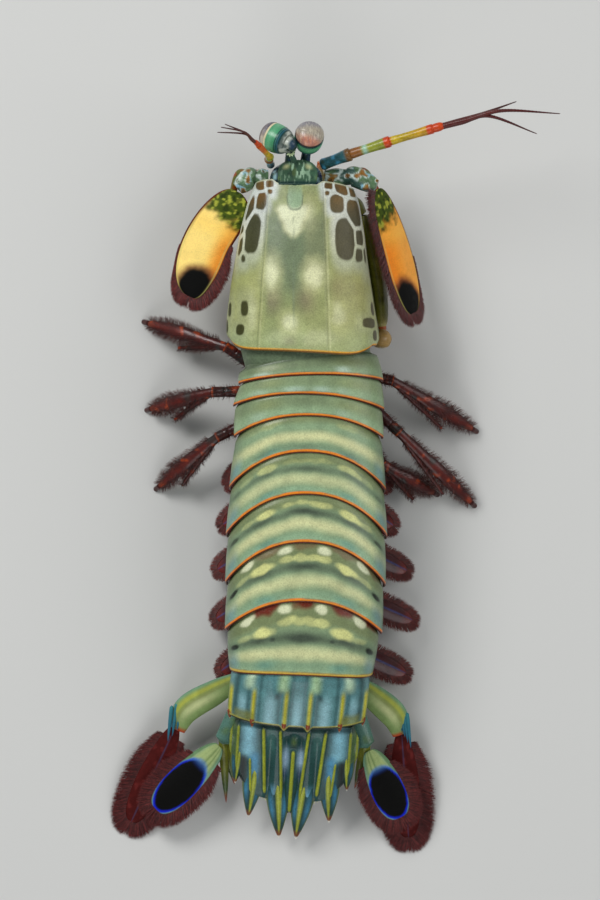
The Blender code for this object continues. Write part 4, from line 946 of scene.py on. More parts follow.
def make_telson():
    """The tail plate: bright ridges over a dark ground, and six great teeth."""
    held = telson_frame()
    back = np.linspace(-1.0, 19.8, 140)
    half = smooth_between(back, TELSON)[0]
    share = np.linspace(-1, 1, 181)
    across = half[:, None] * share
    a, b = np.abs(across), np.broadcast_to(back[:, None], across.shape)
    ridge = np.zeros_like(across)
    lift = np.zeros_like(across)
    for place, first, last, wide, tall in RIDGES:
        drift = place - (0.07 * (b - first)).clip(0) * (0 < place < 10)
        mark = hump(a, drift, wide) * soft(b, first, first + 1.4) * soft(b, last + 0.8, last - 0.8)
        ridge = np.maximum(ridge, mark)
        lift = np.maximum(lift, mark * tall)
    lift += 0.9 * hump(a, 0.0, 1.5) * hump(b, 2.4, 1.9)
    lift -= (0.5 * hump(a, 1.55, 0.9) + 0.45 * hump(a, 4.9, 1.3)) * soft(b, 1.0, 3.0)
    lift -= 0.5 * soft(b, 15.5, 19.8) + 0.3 * soft(b, 0.4, -0.8)
    edge_fall = 0.9 * soft(np.abs(share), 0.92, 1.0) ** 2
    outer = held.at(across, telson_fall(across) - lift + edge_fall, b)
    paint = Paint(outer, between(DEEP_TEAL, colour(36, 78, 74), 0.5))
    paint.lay(ICE_BLUE, hump(a, 9.6, 2.7) * soft(b, 8.6, 5.6) * 0.9)
    paint.lay(BLUE * 1.2, hump(a, 8.2, 1.7) * soft(b, 5.0, 7.5) * soft(b, 14.0, 10.5) * 0.9)
    paint.lay(colour(160, 190, 214), hump(a, 1.6, 1.2) * hump(b, 7.0, 4.2) * 0.9)
    paint.lay(colour(110, 170, 200), hump(a, 4.0, 1.4) * hump(b, 15.5, 3.0) * 0.7)
    paint.lay(colour(60, 80, 120), hump(a, 1.6, 1.1) * hump(b, 10.5, 2.6) * 0.5)
    paint.lay(colour(74, 118, 110), hump(a, 4.9, 1.6) * soft(b, 9.0, 2.0) * 0.6)
    paint.lay(BLACK, hump(a, 10.6, 1.5) * soft(b, 6.4, 8.0) * 0.85)
    paint.lay(colour(150, 158, 40), soft(ridge, 0.15, 0.6))
    paint.lay(colour(86, 108, 44), hump(a, 12.8, 1.4) * 0.6)
    paint.lay(colour(70, 92, 40), hump(a, 0.0, 1.1) * hump(b, 2.4, 1.8) * 0.9)
    # Painted shade along the telson's front, where it runs under the last ring
    paint.lay(DEEP_TEAL * 0.6, soft(b, 0.6, -0.3) * 0.7)
    paint.mottle(1.1, 0.16, 4).mottle(0.5, 0.10, 9)
    piece = Piece("telson_plate")
    piece.sheet(outer, paint.tint, 1.3, colour(96, 62, 26), DEEP_TEAL)
    for side in (-1, 1):
        for order, (start, end, wide) in enumerate(TEETH):
            rows = []
            for s, size in ((-0.12, 0.8), (0, 0.95), (0.3, 0.98), (0.55, 0.78), (0.8, 0.42), (1.0, 0.04)):
                x, y = between(start[0], end[0], s), between(start[1], end[1], s)
                sunk = 1.3 - 0.55 * min(max(s, 0.0) / 0.5, 1.0)
                rows.append((*held.at(side * x, telson_fall(x) + sunk, y),
                             wide * size, 1.1 * max(size, 0.12)))
            rings = limb(rows, 44, 28, held.up)
            angle = 2 * math.pi * np.arange(28) / 28
            top = hump(angle, math.pi / 2 - side * 0.12, 0.34)[None, :] * np.ones((44, 1))
            s = shares_along(rings)
            rings = rings + held.up * (0.30 * top * soft(s, 1.0, 0.8))[..., None]
            flank = hump(angle, 0.25, 0.42) + hump(angle, math.pi - 0.25, 0.42)
            tooth = Paint(rings, between(DEEP_TEAL, colour(40, 70, 60), 0.4))
            tooth.lay(BLUE, (hump(angle, 0.9, 0.5) + hump(angle, math.pi - 0.9, 0.5))[None, :]
                      * hump(s, 0.5, 0.3) * (0.9 if order < 2 else 0.4))
            tooth.lay(colour(148, 156, 44), soft(top, 0.2, 0.7))
            tooth.lay(colour(112, 124, 46), flank[None, :] * 0.8)
            tooth.lay(colour(124, 66, 32), soft(s, 0.80, 0.90) * 0.9)
            tooth.lay(colour(230, 228, 216), soft(s, 0.925, 0.965))
            tooth.mottle(0.9, 0.12, 3)
            piece.tube(rings, tooth.tint)
        for k in range(5):
            x = 4.6 + 0.62 * k
            root = held.at(side * x, telson_fall(x) + 0.7, 16.2 - 0.25 * k)
            tip = held.at(side * (x + 0.02), telson_fall(x) + 0.8, 18.2 - 0.30 * k)
            rings = limb(stations(root, tip, ((0, 0.34), (0.5, 0.26), (1, 0.05))), 8, 8, held.up)
            point = Paint(rings, colour(96, 84, 44)).lay(BONE, soft(shares_along(rings), 0.4, 0.8))
            piece.tube(rings, point.tint)
    piece.done(FINISHES["tail"], "telson", "telson")


def rotated(v, axis, angle):
    """v turned about a unit axis."""
    return (v * math.cos(angle) + np.cross(axis, v) * math.sin(angle)
            + axis * (axis @ v) * (1 - math.cos(angle)))


# How wide a bristle of a fringe is, and how low its tip may reach
FRINGE_WIDE = 0.16
FRINGE_FLOOR = 0.06


class Paddle:
    """A flat oval blade. Its outline is a formula of the angle from its base (0) to its tip (pi).

    tilt is in degrees, arch is how far its sides hang, and bow how far it bends sideways. spread
    widens its inner side near the base, power shapes its outline, and late starts the outer fringe
    short.
    """

    def __init__(self, base, tip, half, thick, tilt, side, arch=0.6, bow=0.0):
        self.base = base
        self.length = np.linalg.norm(tip - base)
        self.along = unit(tip - base)
        level = unit(np.cross(self.along, UP)) * -side
        self.across = rotated(level, self.along, math.radians(side * -tilt))
        self.normal = unit(np.cross(self.across, self.along))
        self.normal = self.normal * (1 if self.normal[2] > 0 else -1)
        self.half, self.thick, self.arch, self.bow = half, thick, arch, bow
        self.spread, self.power, self.late = 0.0, 0.75, False

    def width(self, angle):
        """Half the blade's width there."""
        return self.half * np.sin(angle) ** self.power * (0.80 + 0.22 * np.sin(angle - 0.9))

    def at(self, angle, share, lift=0.0):
        """The point a share of the half width across, and lift above the blade's middle."""
        angle, share, lift = np.broadcast_arrays(np.asarray(angle, float), share, lift)
        along = self.length * (1 - np.cos(angle)) / 2
        across = self.width(angle) * share - self.spread * np.maximum(-share, 0) * hump(angle, 0.75, 0.95)
        sag = self.arch * (across / self.half) ** 2
        across = across + self.bow * np.sin(angle)
        return (self.base + along[..., None] * self.along + across[..., None] * self.across
                + (lift - sag)[..., None] * self.normal)

    def rings(self, start, rows=70, sides=56):
        """Rings round the blade, and at each point the angle, the share across and the share up."""
        angle = np.radians(np.linspace(start, 177, rows))[:, None] * np.ones((1, sides))
        turn = 2 * math.pi * np.arange(sides)[None, :] / sides
        share = np.cos(turn) * np.ones((rows, 1))
        lift = np.sin(turn) * self.thick / 2 * np.sin(angle) ** 0.3
        return self.at(angle, share, lift), angle, share, np.sin(turn) * np.ones((rows, 1))

    def outward(self, angle, share):
        """The direction away from the blade, square to its rim."""
        run = self.at(angle + 0.02, share) - self.at(angle - 0.02, share)
        out = unit(np.cross(run, self.normal))
        side = np.sum(out * (self.at(angle, share) - self.at(angle, 0.0)), axis=-1, keepdims=True)
        return np.where(side > 0, out, -out)

    def fringe(self, piece, count, reach, first, tones, draw, layers):
        """Rows of fine bristles round the rim. first holds the angle where they begin on the inner and
        on the outer edge, and reach their length at the base and at the tip."""
        for edge, begin in zip((-1, 1), first):
            for layer in range(layers):
                share = (np.arange(count) + draw.uniform(-0.4, 0.4, count) + 0.5) / count
                angle = np.radians(begin + (176 - begin) * share)
                out = self.outward(angle, edge)
                lean = unit(out + self.along * (0.5 + 0.15 * draw.normal(size=(count, 1)))
                            + self.normal * 0.10 * draw.normal(size=(count, 1)))
                lift = draw.uniform(-0.3, 0.3, count) * self.thick
                root = self.at(angle, edge * 0.95, lift)
                size, grown = reach[0], soft(share, -0.05, 0.3)
                if edge > 0 and self.late:
                    size, grown = 0.5, soft(share, 0.25, 0.95)
                size = between(size, reach[1], grown) * draw.uniform(0.78, 1.04, count)
                tip = root + lean * size[:, None]
                tip[:, 2] = np.maximum(tip[:, 2], FRINGE_FLOOR)
                tone = between(tones[0], tones[1], draw.uniform(0, 1, (count, 1)))
                row = 0.25 + 0.25 * (edge + 1) + 0.06 * layer
                place = np.stack([0.03 + 0.9 * share, np.full(count, row)], axis=-1)
                bristles(piece, root, tip, self.normal, FRINGE_WIDE, tone, place, draw)
        count = count // 3
        share = draw.uniform(-1, 1, count)
        root = self.at(math.radians(172), share, draw.uniform(-0.3, 0.3, count) * self.thick)
        lean = unit(self.along + self.across * (share * 0.9)[:, None] + 0.08 * draw.normal(size=(count, 3)))
        tip = root + lean * (reach[1] * draw.uniform(0.8, 1.04, count))[:, None]
        tip[:, 2] = np.maximum(tip[:, 2], FRINGE_FLOOR)
        tone = between(tones[0], tones[1], draw.uniform(0, 1, (count, 1)))
        place = np.stack([0.05 + 0.9 * (share + 1) / 2, np.full(count, 0.95)], axis=-1)
        bristles(piece, root, tip, self.normal, FRINGE_WIDE, tone, place, draw)


def bristles(piece, root, tip, normal, wide, tone, place, draw):
    """Thin three-sided bristles that taper to their tips, each with its own patch on the map."""
    count = len(root)
    run = tip - root
    across = unit(np.cross(run, normal))
    above = unit(np.cross(across, run))
    long = np.linalg.norm(run, axis=-1, keepdims=True)
    bow = (across * draw.normal(size=(count, 1)) + above * draw.normal(size=(count, 1))) * 0.12 * long
    parts = []
    for share, size in ((0.0, 1.0), (0.4, 0.85), (0.75, 0.5)):
        middle = root + run * share + bow * share * (1 - share)
        for turn in (0.5, 2.6, 4.7):
            around_it = across * math.cos(turn) + above * math.sin(turn) * 0.7
            parts.append(middle + around_it * wide / 2 * size)
    parts.append(tip)
    points = np.stack(parts, axis=1)
    start = np.arange(count)[:, None] * 10
    quads = [start + np.array([r * 3 + k, r * 3 + (k + 1) % 3, r * 3 + 3 + (k + 1) % 3, r * 3 + 3 + k])
             for r in range(2) for k in range(3)]
    tris = [start + np.array([6 + k, 6 + (k + 1) % 3, 9]) for k in range(3)]
    tris.append(start + np.array([2, 1, 0]))
    shade = np.linspace(0.75, 1.15, 10)[None, :, None]
    patch = np.array([(0, 0), (0.001, 0), (0.0005, 0.001), (0.001, 0.001), (0.002, 0.001),
                      (0.0015, 0.002), (0.001, 0.002), (0.002, 0.002), (0.0015, 0.0025), (0.003, 0.003)])
    piece.add(points, [np.concatenate(quads), np.concatenate(tris)], tone[:, None, :] * shade,
              place[:, None, :] + patch[None])


# Each side of the tail fan: where both paddles start and end, and the outer one's joint
UROPODS = {
    RIGHT: dict(inner=(vec(14.8, -64.4, 7.6), vec(21.6, -79.0, 4.2)), knee=vec(20.2, -57.0, 6.6),
                outer=(vec(21.8, -61.2, 4.6), vec(23.4, -83.6, 0.42))),
    LEFT: dict(inner=(vec(-17.2, -63.4, 7.6), vec(-31.0, -77.2, 4.2)), knee=vec(-24.2, -55.6, 6.6),
               outer=(vec(-26.6, -60.2, 4.6), vec(-36.4, -80.2, 0.42))),
}
INNER_TILT = 6.0
OUTER_TILT = 3.0
FAN_TONES = (colour(58, 14, 14), colour(104, 36, 34))


def make_uropod(side):
    """One side of the tail fan: base and fork, the inner paddle, and the outer one with its spines."""
    pose, tag = UROPODS[side], SIDE_NAMES[side]
    draw = np.random.default_rng(40 + side)
    hip = ring_middle("abdomen_6").under(side * 8.8, 0.0, 2.65)
    inner_base, inner_tip = pose["inner"]
    outer_base, outer_tip = pose["outer"]
    knee = pose["knee"]
    end = inner_base + unit(hip - inner_base) * 0.6
    piece = Piece("uropod_base_piece_" + tag)
    start = hip + vec(-side * 0.8, 0.6, 0)
    rings = limb([(*start, 2.2, 1.8), (*between(hip, end, 0.4), 2.7, 2.0), (*end, 1.8, 1.3)], 24, 24)
    paint = Paint(rings, between(TEAL, DEEP_TEAL, 0.45))
    paint.lay(LEAF, soft(noise(rings, 2.0, 4), 0.0, 0.6) * 0.6)
    piece.tube(rings, paint.mottle(0.8, 0.15).tint)
    for reach, aside in ((14.5, -0.6), (10.5, -2.4)):
        root = end + vec(-side * 0.4, 1.4, -0.6)
        tip = root + vec(side * aside, -reach, -4.6)
        rings = limb([(*root, 1.0, 0.7), (*between(root, tip, 0.3), 1.05, 0.65),
                      (*between(root, tip, 0.7), 0.65, 0.45), (*tip, 0.06, 0.06)], 30, 16)
        s = shares_along(rings)
        paint = Paint(rings, between(DEEP_TEAL, LEAF, 0.5)).lay(YELLOW, hump(s, 0.3, 0.5) * 0.4)
        piece.tube(rings, paint.lay(colour(140, 60, 34), soft(s, 0.75, 0.95)).mottle(0.8, 0.15).tint)
    piece.done(FINISHES["tail"], "tail_limb", "uropod_base_" + tag)

    inner = Paddle(inner_base, inner_tip, 4.0, 0.9, INNER_TILT, side, 0.3)
    inner.power = 0.58
    rings, angle, share, _ = inner.rings(8)
    along = (1 - np.cos(angle)) / 2
    wide = inner.width(angle) * share / 4.0
    out = np.hypot((along - 0.62) / 0.335, wide / 0.80) - 1 + 0.02 * noise(rings, 1.0, 2)
    streak = noise(np.stack([share * 9, along * 1.2, share * 0], axis=-1), 1.0, 6)
    paint = Paint(rings, between(colour(132, 158, 96), CREAM, 0.25))
    paint.lay(TEAL, soft(np.abs(share), 0.5, 0.95) * 0.8)
    paint.lay(colour(84, 112, 60), soft(streak, 0.0, 0.6) * 0.6)
    paint.lay(colour(70, 130, 176), soft(along, 0.14, 0.34) * soft(out, 0.22, 0.10))
    paint.lay(colour(20, 34, 190), soft(along, 0.20, 0.42) * soft(out, 0.20, 0.11))
    paint.lay(MAROON, soft(out, 0.18, 0.26) * soft(along, 0.45, 0.6))
    paint.lay(BLACK, soft(out, 0.10, 0.02) * soft(along, 0.22, 0.36))
    paint.mottle(0.8, 0.10, 3)
    piece = Piece("uropod_inner_" + tag)
    piece.tube(rings, paint.tint)
    piece.done(FINISHES["blade"], "tail_paddle", "uropod_endopod_" + tag)
    piece = Piece("uropod_inner_fringe_" + tag)
    inner.fringe(piece, 420, (1.4, 3.4), (48, 62), FAN_TONES, draw, 3)
    piece.done(FINISHES["bristle"], "tail_paddle")

    start = hip + vec(side * 3.3, 0.9, -0.6)
    bend = between(start, knee, 0.5) + vec(0, 0.2, 0.3)
    rows = [(*start, 1.5, 1.2), (*bend, 2.7, 1.2), (*knee, 2.9, 1.1), (*outer_base, 1.8, 0.5)]
    rings = limb(rows, 50, 36)
    turn = np.broadcast_to(np.cos(2 * math.pi * np.arange(36) / 36), rings.shape[:2]) * -side
    s = shares_along(rings)
    paint = Paint(rings, colour(126, 150, 92))
    paint.lay(CREAM, hump(turn, -0.15, 0.5) * hump(s, 0.55, 0.4) * 0.7)
    paint.lay(colour(120, 92, 40), hump(turn, 0.25, 0.14) * 0.6)
    paint.lay(YELLOW * 1.1, hump(turn, 0.55, 0.3) * 0.5)
    paint.lay(TEAL, soft(turn, 0.7, 1.0) * 0.7)
    paint.lay(BLUE, soft(s, 0.80, 0.95) * soft(turn, 0.0, 0.6) * 0.8)
    paint.lay(colour(168, 44, 20), soft(s, 0.90, 0.97) * soft(turn, 0.3, -0.1) * 0.9)
    paint.mottle(0.9, 0.12, 8)
    piece = Piece("uropod_outer_" + tag)
    piece.tube(rings, paint.tint)
    for k in range(9):
        root = between(start, knee, 0.40 + 0.095 * k) + vec(side * (2.0 - 0.05 * k), 0.1, -0.15)
        tip = root + vec(side * (1.5 - 0.1 * k), -2.0 - 0.5 * k, -0.35 - 0.08 * k)
        rows = stations(root, tip, ((-0.3, 0.4), (0, 0.45, 0.4), (0.6, 0.3, 0.28), (1, 0.05)))
        spine = limb(rows, 14, 10)
        tone = Paint(spine, colour(60, 126, 130)).lay(colour(40, 84, 120), shares_along(spine) * 0.8)
        piece.tube(spine, tone.tint)
    outer = Paddle(outer_base + vec(0, 1.0, 0.2), outer_tip, 3.5, 0.7, OUTER_TILT, side, 0.3)
    rings, _, share, _ = outer.rings(8)
    paint = Paint(rings, MAROON)
    paint.lay(colour(110, 40, 38), soft(noise(rings, 0.8, 3), 0.1, 0.6) * 0.6)
    paint.lay(colour(60, 90, 130), hump(share, 0.0, 0.06) * 0.3)
    piece.tube(rings, paint.mottle(0.6, 0.2, 4).tint)
    piece.done(FINISHES["blade"], "tail_fan", "uropod_exopod_" + tag)
    piece = Piece("uropod_outer_fringe_" + tag)
    outer.fringe(piece, 460, (1.6, 3.7), (40, 40), FAN_TONES, draw, 3)
    piece.done(FINISHES["bristle"], "tail_fan")


# The head: its block, the rostral plate, the eyes, both pairs of feelers and the scales

HEAD_CENTRE = vec(-0.8, 58.3, 17.6)
EYE_RADIUS = 3.1
EYE_DOME = 0.72
# Each eye: where its stalk starts, where the eyeball's middle is, and where the cornea looks
EYES = {
    RIGHT: dict(root=vec(1.0, 60.7, 21.1), seat=vec(2.0, 66.4, 27.0), axis=unit(vec(0.10, 0.45, 0.89))),
    LEFT: dict(root=vec(-2.2, 60.9, 21.0), seat=vec(-5.9, 66.3, 25.2), axis=unit(vec(-0.80, 0.38, -0.46))),
}


def make_head():
    """The block behind the eyes, with its jaws and lip."""
    rows = [(-0.8, 55.7, 18.0, 4.8, 3.6), (-0.8, 57.3, 17.8, 5.6, 4.4), (-0.8, 59.5, 17.6, 5.0, 4.2),
            (-0.8, 61.1, 17.4, 2.8, 2.6)]
    rings = limb(rows, 40, 56)
    grain = noise(rings, 1.3, 2)
    rings = rings + UP * 0.25 * grain[..., None]
    paint = Paint(rings, colour(40, 62, 66))
    paint.lay(colour(150, 190, 196), soft(noise(rings, 0.9, 21), 0.15, 0.5) * 0.8)
    paint.lay(colour(110, 120, 60), soft(noise(rings, 0.9, 5), 0.2, 0.6) * 0.6)
    paint.lay(colour(34, 44, 96), soft(noise(rings, 1.1, 9), 0.2, 0.6) * 0.8)
    piece = Piece("head_block")
    piece.tube(rings, paint.mottle(0.6, 0.2).tint)
    for side in (-1, 1):
        rows = [(-0.8 + side * 1.2, 57.2, 16.0, 1.3, 2.2), (-0.8 + side * 1.3, 57.4, 12.6, 1.4, 1.9),
                (-0.8 + side * 0.8, 56.9, 9.6, 0.7, 0.9)]
        jaw = limb(rows, 20, 18, vec(0, 1, 0))
        paint = Paint(jaw, colour(150, 148, 96)).lay(colour(90, 52, 36), soft(jaw[..., 2], 11, 9.4))
        piece.tube(jaw, paint.mottle(0.9, 0.2).tint)
    rows = [(-0.8, 59.4, 15.6, 1.8, 1.2), (-0.8, 59.9, 13.0, 1.9, 0.9), (-0.8, 59.3, 10.8, 0.9, 0.5)]
    lip = limb(rows, 18, 18, vec(0, 1, 0))
    piece.tube(lip, Paint(lip, colour(120, 140, 110)).mottle(0.7, 0.2).tint)
    piece.done(FINISHES["eyestalk"], "head", "head")


# The rostral plate's half widths at places ahead of the carapace
ROSTRAL = ((-0.5, 4.0), (0.8, 4.25), (2.6, 4.1), (3.6, 3.5), (4.2, 2.6), (4.5, 1.6))


def make_rostral_plate():
    """The rounded plate over the eyestalks' roots, mottled and dotted with white."""
    held = carapace_frame(0.0)
    back = np.linspace(0.5, -4.5, 50)
    half = smooth_between(-back, ROSTRAL)[0]
    share = np.linspace(-1, 1, 61)
    across = half[:, None] * share - 0.75
    b = np.broadcast_to(back[:, None], across.shape)
    depth = 0.10 + 0.08 * b + 0.5 * share ** 2 - 0.35 * soft(b, 0.0, 0.5)
    outer = held.at(across, depth, b)
    flecks = noise(np.stack([across * 3.2, b * 1.1, b * 0], axis=-1), 1.0, 4)
    beads = soft(flecks, 0.05, 0.5) * soft(np.abs(share), 1.0, 0.6)
    outer = outer + held.up * 0.08 * beads[..., None]
    paint = Paint(outer, colour(58, 92, 68))
    paint.lay(colour(34, 60, 46), soft(noise(outer, 0.8, 7), 0.1, 0.6) * 0.7)
    paint.lay(colour(96, 112, 50), soft(noise(outer, 1.2, 9), 0.1, 0.6) * 0.4)
    paint.lay(colour(156, 190, 158), beads * (0.55 + 0.4 * soft(np.abs(share), 0.5, 0.2)))
    paint.lay(colour(190, 194, 142), hump(np.abs(share), 0.62, 0.28) * hump(-b, 3.1, 0.9) * 0.8)
    # Painted shade along the plate's rear, where it runs under the carapace's front edge
    paint.lay(DEEP_TEAL * 0.7, soft(-b, 0.4, -0.3) * 0.85)
    piece = Piece("rostral_piece")
    piece.sheet(outer[::-1], paint.tint[::-1], 0.6, colour(36, 66, 56), DEEP_TEAL, 6)
    hinge = held.at(-1.4, 0.5, -4.0)
    crest = held.at(-1.8, -3.0, -5.6)
    rings = limb(stations(hinge, crest, ((0, 0.7, 0.5), (0.5, 0.6, 0.5), (1, 0.5, 0.45))), 16, 16)
    piece.tube(rings, Paint(rings, colour(64, 92, 76)).mottle(0.5, 0.2).tint)
    for k in range(9):
        turn = 2 * math.pi * k / 9 + 0.3
        root = crest + vec(0.3 * math.cos(turn), 0.3 * math.sin(turn), 0.1)
        tip = crest + vec(1.0 * math.cos(turn), 0.95 * math.sin(turn), 0.7 + 0.3 * (k % 2))
        rings = limb(stations(root, tip, ((0, 0.26), (0.6, 0.2), (1, 0.06))), 8, 8)
        piece.tube(rings, Paint(rings, colour(186, 204, 160)).mottle(0.4, 0.2, k).tint)
    piece.done(FINISHES["rostral"], "rostral_plate", "rostral_plate")


def make_eye(side):
    """The mottled, banded stalk and cup, and the pearly cornea with its band across the middle."""
    eye, tag = EYES[side], SIDE_NAMES[side]
    root, seat, axis = eye["root"], eye["seat"], eye["axis"]
    low = seat - axis * EYE_RADIUS * 1.6
    elbow = between(root, low, 0.6)
    path = [(*root, 1.1, 1.1), (*elbow, 1.0, 1.0), (*(low - axis * 0.1), 1.3, 1.3)]
    for back, radius in ((1.38, 2.1), (1.0, 2.8), (0.5, 3.1), (0.0, 3.1), (-0.08, 2.9)):
        path.append((*(seat - axis * EYE_RADIUS * back), radius, radius))
    rows = spline(path, 100)
    rings = rings_along(rows[:, :3], rows[:, 3:5], 56, vec(0, 1, 0.2))
    back = ((seat - rings) @ axis) / EYE_RADIUS
    back = np.where(shares_along(rings) < 0.26, 2.0, back)
    grain = noise(rings, 0.9, 3)
    paint = Paint(rings, colour(34, 62, 84))
    paint.lay(colour(38, 60, 50), soft(back, 2.3, 2.0) * soft(grain, -0.2, 0.4) * 0.8)
    paint.lay(colour(84, 96, 90), soft(back, 1.8, 1.6))
    paint.lay(colour(182, 188, 176), soft(back, 1.8, 1.6) * soft(noise(rings, 0.8, 12), -0.35, 0.25) * 0.9)
    paint.lay(DEEP_TEAL, soft(back, 1.22, 1.12))
    paint.lay(colour(38, 92, 110), hump(back, 1.02, 0.06))
    paint.lay(colour(60, 124, 116), hump(back, 0.90, 0.05))
    paint.lay(colour(70, 146, 104), soft(back, 0.84, 0.74))
    paint.lay(colour(104, 172, 128), hump(back, 0.40, 0.34) * 0.7)
    if side == LEFT:
        # Painted highlight: a cream band on the left cup's rim, for the lit edge of the cornea
        paint.lay(colour(222, 206, 168), soft(back, 0.14, 0.06) * 0.9)
    else:
        paint.lay(colour(26, 66, 66), soft(back, 0.12, 0.05))
    paint.mottle(0.5, 0.08, 2)
    piece = Piece("eyestalk_piece_" + tag)
    piece.tube(rings, paint.tint)
    piece.done(FINISHES["eyestalk"], "eyestalk", "eyestalk_" + tag)

    base = seat + axis * 0.16
    across = unit(np.cross(axis, vec(0, 1, 0.2)))
    above = np.cross(across, axis)
    climb = np.linspace(0, math.pi / 2 - 0.03, 60)[:, None]
    turn = 2 * math.pi * np.arange(96)[None, :] / 96
    ring = np.cos(climb) ** 0.9
    sideways, upward = ring * np.cos(turn), ring * np.sin(turn)
    tilt = math.radians(-24)
    stripe = upward * math.cos(tilt) + sideways * math.sin(tilt)
    groove = (0.022 * (hump(stripe, 0.17, 0.05) + hump(stripe, -0.17, 0.05))
              - 0.012 * hump(stripe, 0.0, 0.15))
    size = EYE_RADIUS * (1 - groove)
    points = (base + (sideways * size)[..., None] * across + (upward * size)[..., None] * above
              + (np.sin(climb) * EYE_DOME * size)[..., None] * axis)
    flat_ring = ring * np.ones_like(turn)
    streaks = noise(np.stack([sideways * 26, upward * 5, upward * 0], axis=-1), 1.0, 7)
    paint = Paint(points, colour(180, 170, 150))
    paint.lay(colour(140, 138, 146), soft(upward, 0.0, 0.6) * 0.9)
    paint.lay(colour(84, 78, 96), soft(upward - 0.15 * sideways, 0.45, 1.0) * 0.85)
    paint.lay(colour(206, 130, 100), soft(upward - 0.35 * sideways, -0.20, -0.75) * 0.9)
    paint.lay(colour(140, 104, 84), soft(sideways - 0.3 * upward, 0.55, 1.05) * 0.8)
    paint.lay(colour(112, 100, 110), soft(streaks, 0.0, 0.6) * 0.35)
    paint.lay(colour(226, 218, 196), soft(-streaks, 0.1, 0.7) * 0.30)
    paint.lay(colour(140, 116, 112), (hump(stripe, 0.18, 0.04) + hump(stripe, -0.18, 0.04)) * 0.2)
    if side == LEFT:
        # Painted shade: the left cornea's outer ring darkened on one side, as its edge looks when seen
        # edge-on
        paint.lay(colour(84, 66, 66), soft(sideways, 0.1, -0.3) * soft(flat_ring, 0.97, 0.88) * 0.85)
    else:
        # Painted shade: a thin dark outline round the right cornea's edge, as it looks at a grazing angle
        paint.lay(colour(34, 30, 36), soft(flat_ring, 0.97, 0.99))
    paint.mottle(0.7, 0.06, 3)
    piece = Piece("cornea_" + tag)
    piece.tube(points, paint.tint)
    piece.done(FINISHES["cornea"], "cornea", "eye_" + tag)


# The joints of each antennule's base, and where its three whips end
ANTENNULES = {
    RIGHT: dict(joints=(vec(4.6, 60.6, 18.0), vec(10.6, 62.8, 19.4), vec(18.9, 65.4, 21.4),
                        vec(28.0, 68.0, 23.4)),
                ends=(vec(55.0, 71.0, 27.0), vec(50.2, 66.9, 24.0), vec(46.0, 74.0, 20.0))),
    LEFT: dict(joints=(vec(-6.2, 60.6, 18.0), vec(-6.6, 61.6, 23.0), vec(-6.3, 61.7, 30.0),
                       vec(-8.6, 63.8, 36.5)),
               ends=(vec(-16.4, 66.9, 50.0), vec(-17.2, 66.0, 47.0), vec(-15.6, 67.6, 48.5))),
}


def make_antennule(side):
    """Three jointed lengths, blue to yellow, and three fine ringed whips."""
    pose, tag = ANTENNULES[side], SIDE_NAMES[side]
    joints = pose["joints"]
    piece = Piece("antennule_piece_" + tag)
    grounds = (colour(56, 112, 120), colour(138, 146, 44), colour(184, 158, 24))
    for k in range(3):
        a, b = joints[k], joints[k + 1]
        thick = (1.35, 1.15, 1.0)[k] * (1.0 if side == RIGHT else 0.68)
        rows = [(*between(a, b, s), thick * w, thick * w) for s, w in
                ((-0.03, 0.7), (0.06, 0.95), (0.3, 0.88), (0.6, 0.9), (0.86, 1.02), (1.0, 1.05), (1.03, 0.8))]
        rings = limb(rows, 46, 24)
        s = (rings - a) @ (b - a) / ((b - a) @ (b - a))
        grain = noise(rings, 1.0, 3 + k)
        paint = Paint(rings, grounds[k])
        if k == 0:
            paint.lay(colour(84, 170, 206), soft(grain, 0.0, 0.4))
            paint.lay(colour(60, 70, 30), soft(noise(rings, 1.2, 9), 0.1, 0.5) * 0.7)
            paint.lay(colour(120, 84, 40), soft(s, 0.80, 0.92))
        else:
            paint.lay(colour(200, 140, 24), soft(s, 0.3, 0.9) * (k == 2) * 0.7)
            paint.lay(colour(120, 90, 10), soft(grain, 0.2, 0.6) * 0.4)
            if k == 1:
                paint.lay(colour(150, 190, 168), hump(s, 0.40, 0.10))
                paint.lay(colour(134, 84, 36), soft(s, 0.34, 0.28))
        if side == RIGHT:
            paint.lay(colour(190, 62, 16), soft(s, 0.86, 0.91) * (k > 0)
                      + soft(s, 0.08, 0.04) * (k == 2))
        elif k == 2:
            paint.lay(colour(204, 92, 20), soft(s, 0.35, 0.75))
        piece.tube(rings, paint.mottle(0.5, 0.12).tint)
    hand = joints[3]
    ahead = unit(joints[3] - joints[2])
    slim = 1.0 if side == RIGHT else 0.6
    knob = [(*(hand + ahead * far), wide * slim, wide * slim)
            for far, wide in ((-0.2, 0.7), (0.6, 0.95), (1.8, 0.92), (2.6, 0.6))]
    rings = limb(knob, 20, 20)
    piece.tube(rings, Paint(rings, colour(196, 66, 16)).mottle(0.5, 0.12).tint)
    for end in pose["ends"]:
        reach = np.linalg.norm(end - hand)
        middle = hand + ahead * reach * 0.45 + (end - hand) * 0.12
        path = [(*(hand - ahead * 0.8), 0.62 * slim, 0.62 * slim),
                (*between(hand, middle, 0.5), 0.52 * slim, 0.52 * slim),
                (*middle, 0.36 * slim, 0.36 * slim), (*end, 0.09, 0.09)]
        rings = limb(path, 150, 12)
        s = shares_along(rings)
        rings = swollen(rings, 1 + 0.10 * every_third(150))
        paint = Paint(rings, colour(86, 26, 20)).lay(colour(204, 84, 20), soft(s, 0.12, 0.03))
        paint.lay(colour(50, 14, 16), soft(s, 0.5, 1.0) * 0.6)
        piece.tube(rings, paint.tint * (1 - 0.2 * every_third(150)))
    piece.done(FINISHES["limb"], "antennule", "antennule_" + tag)


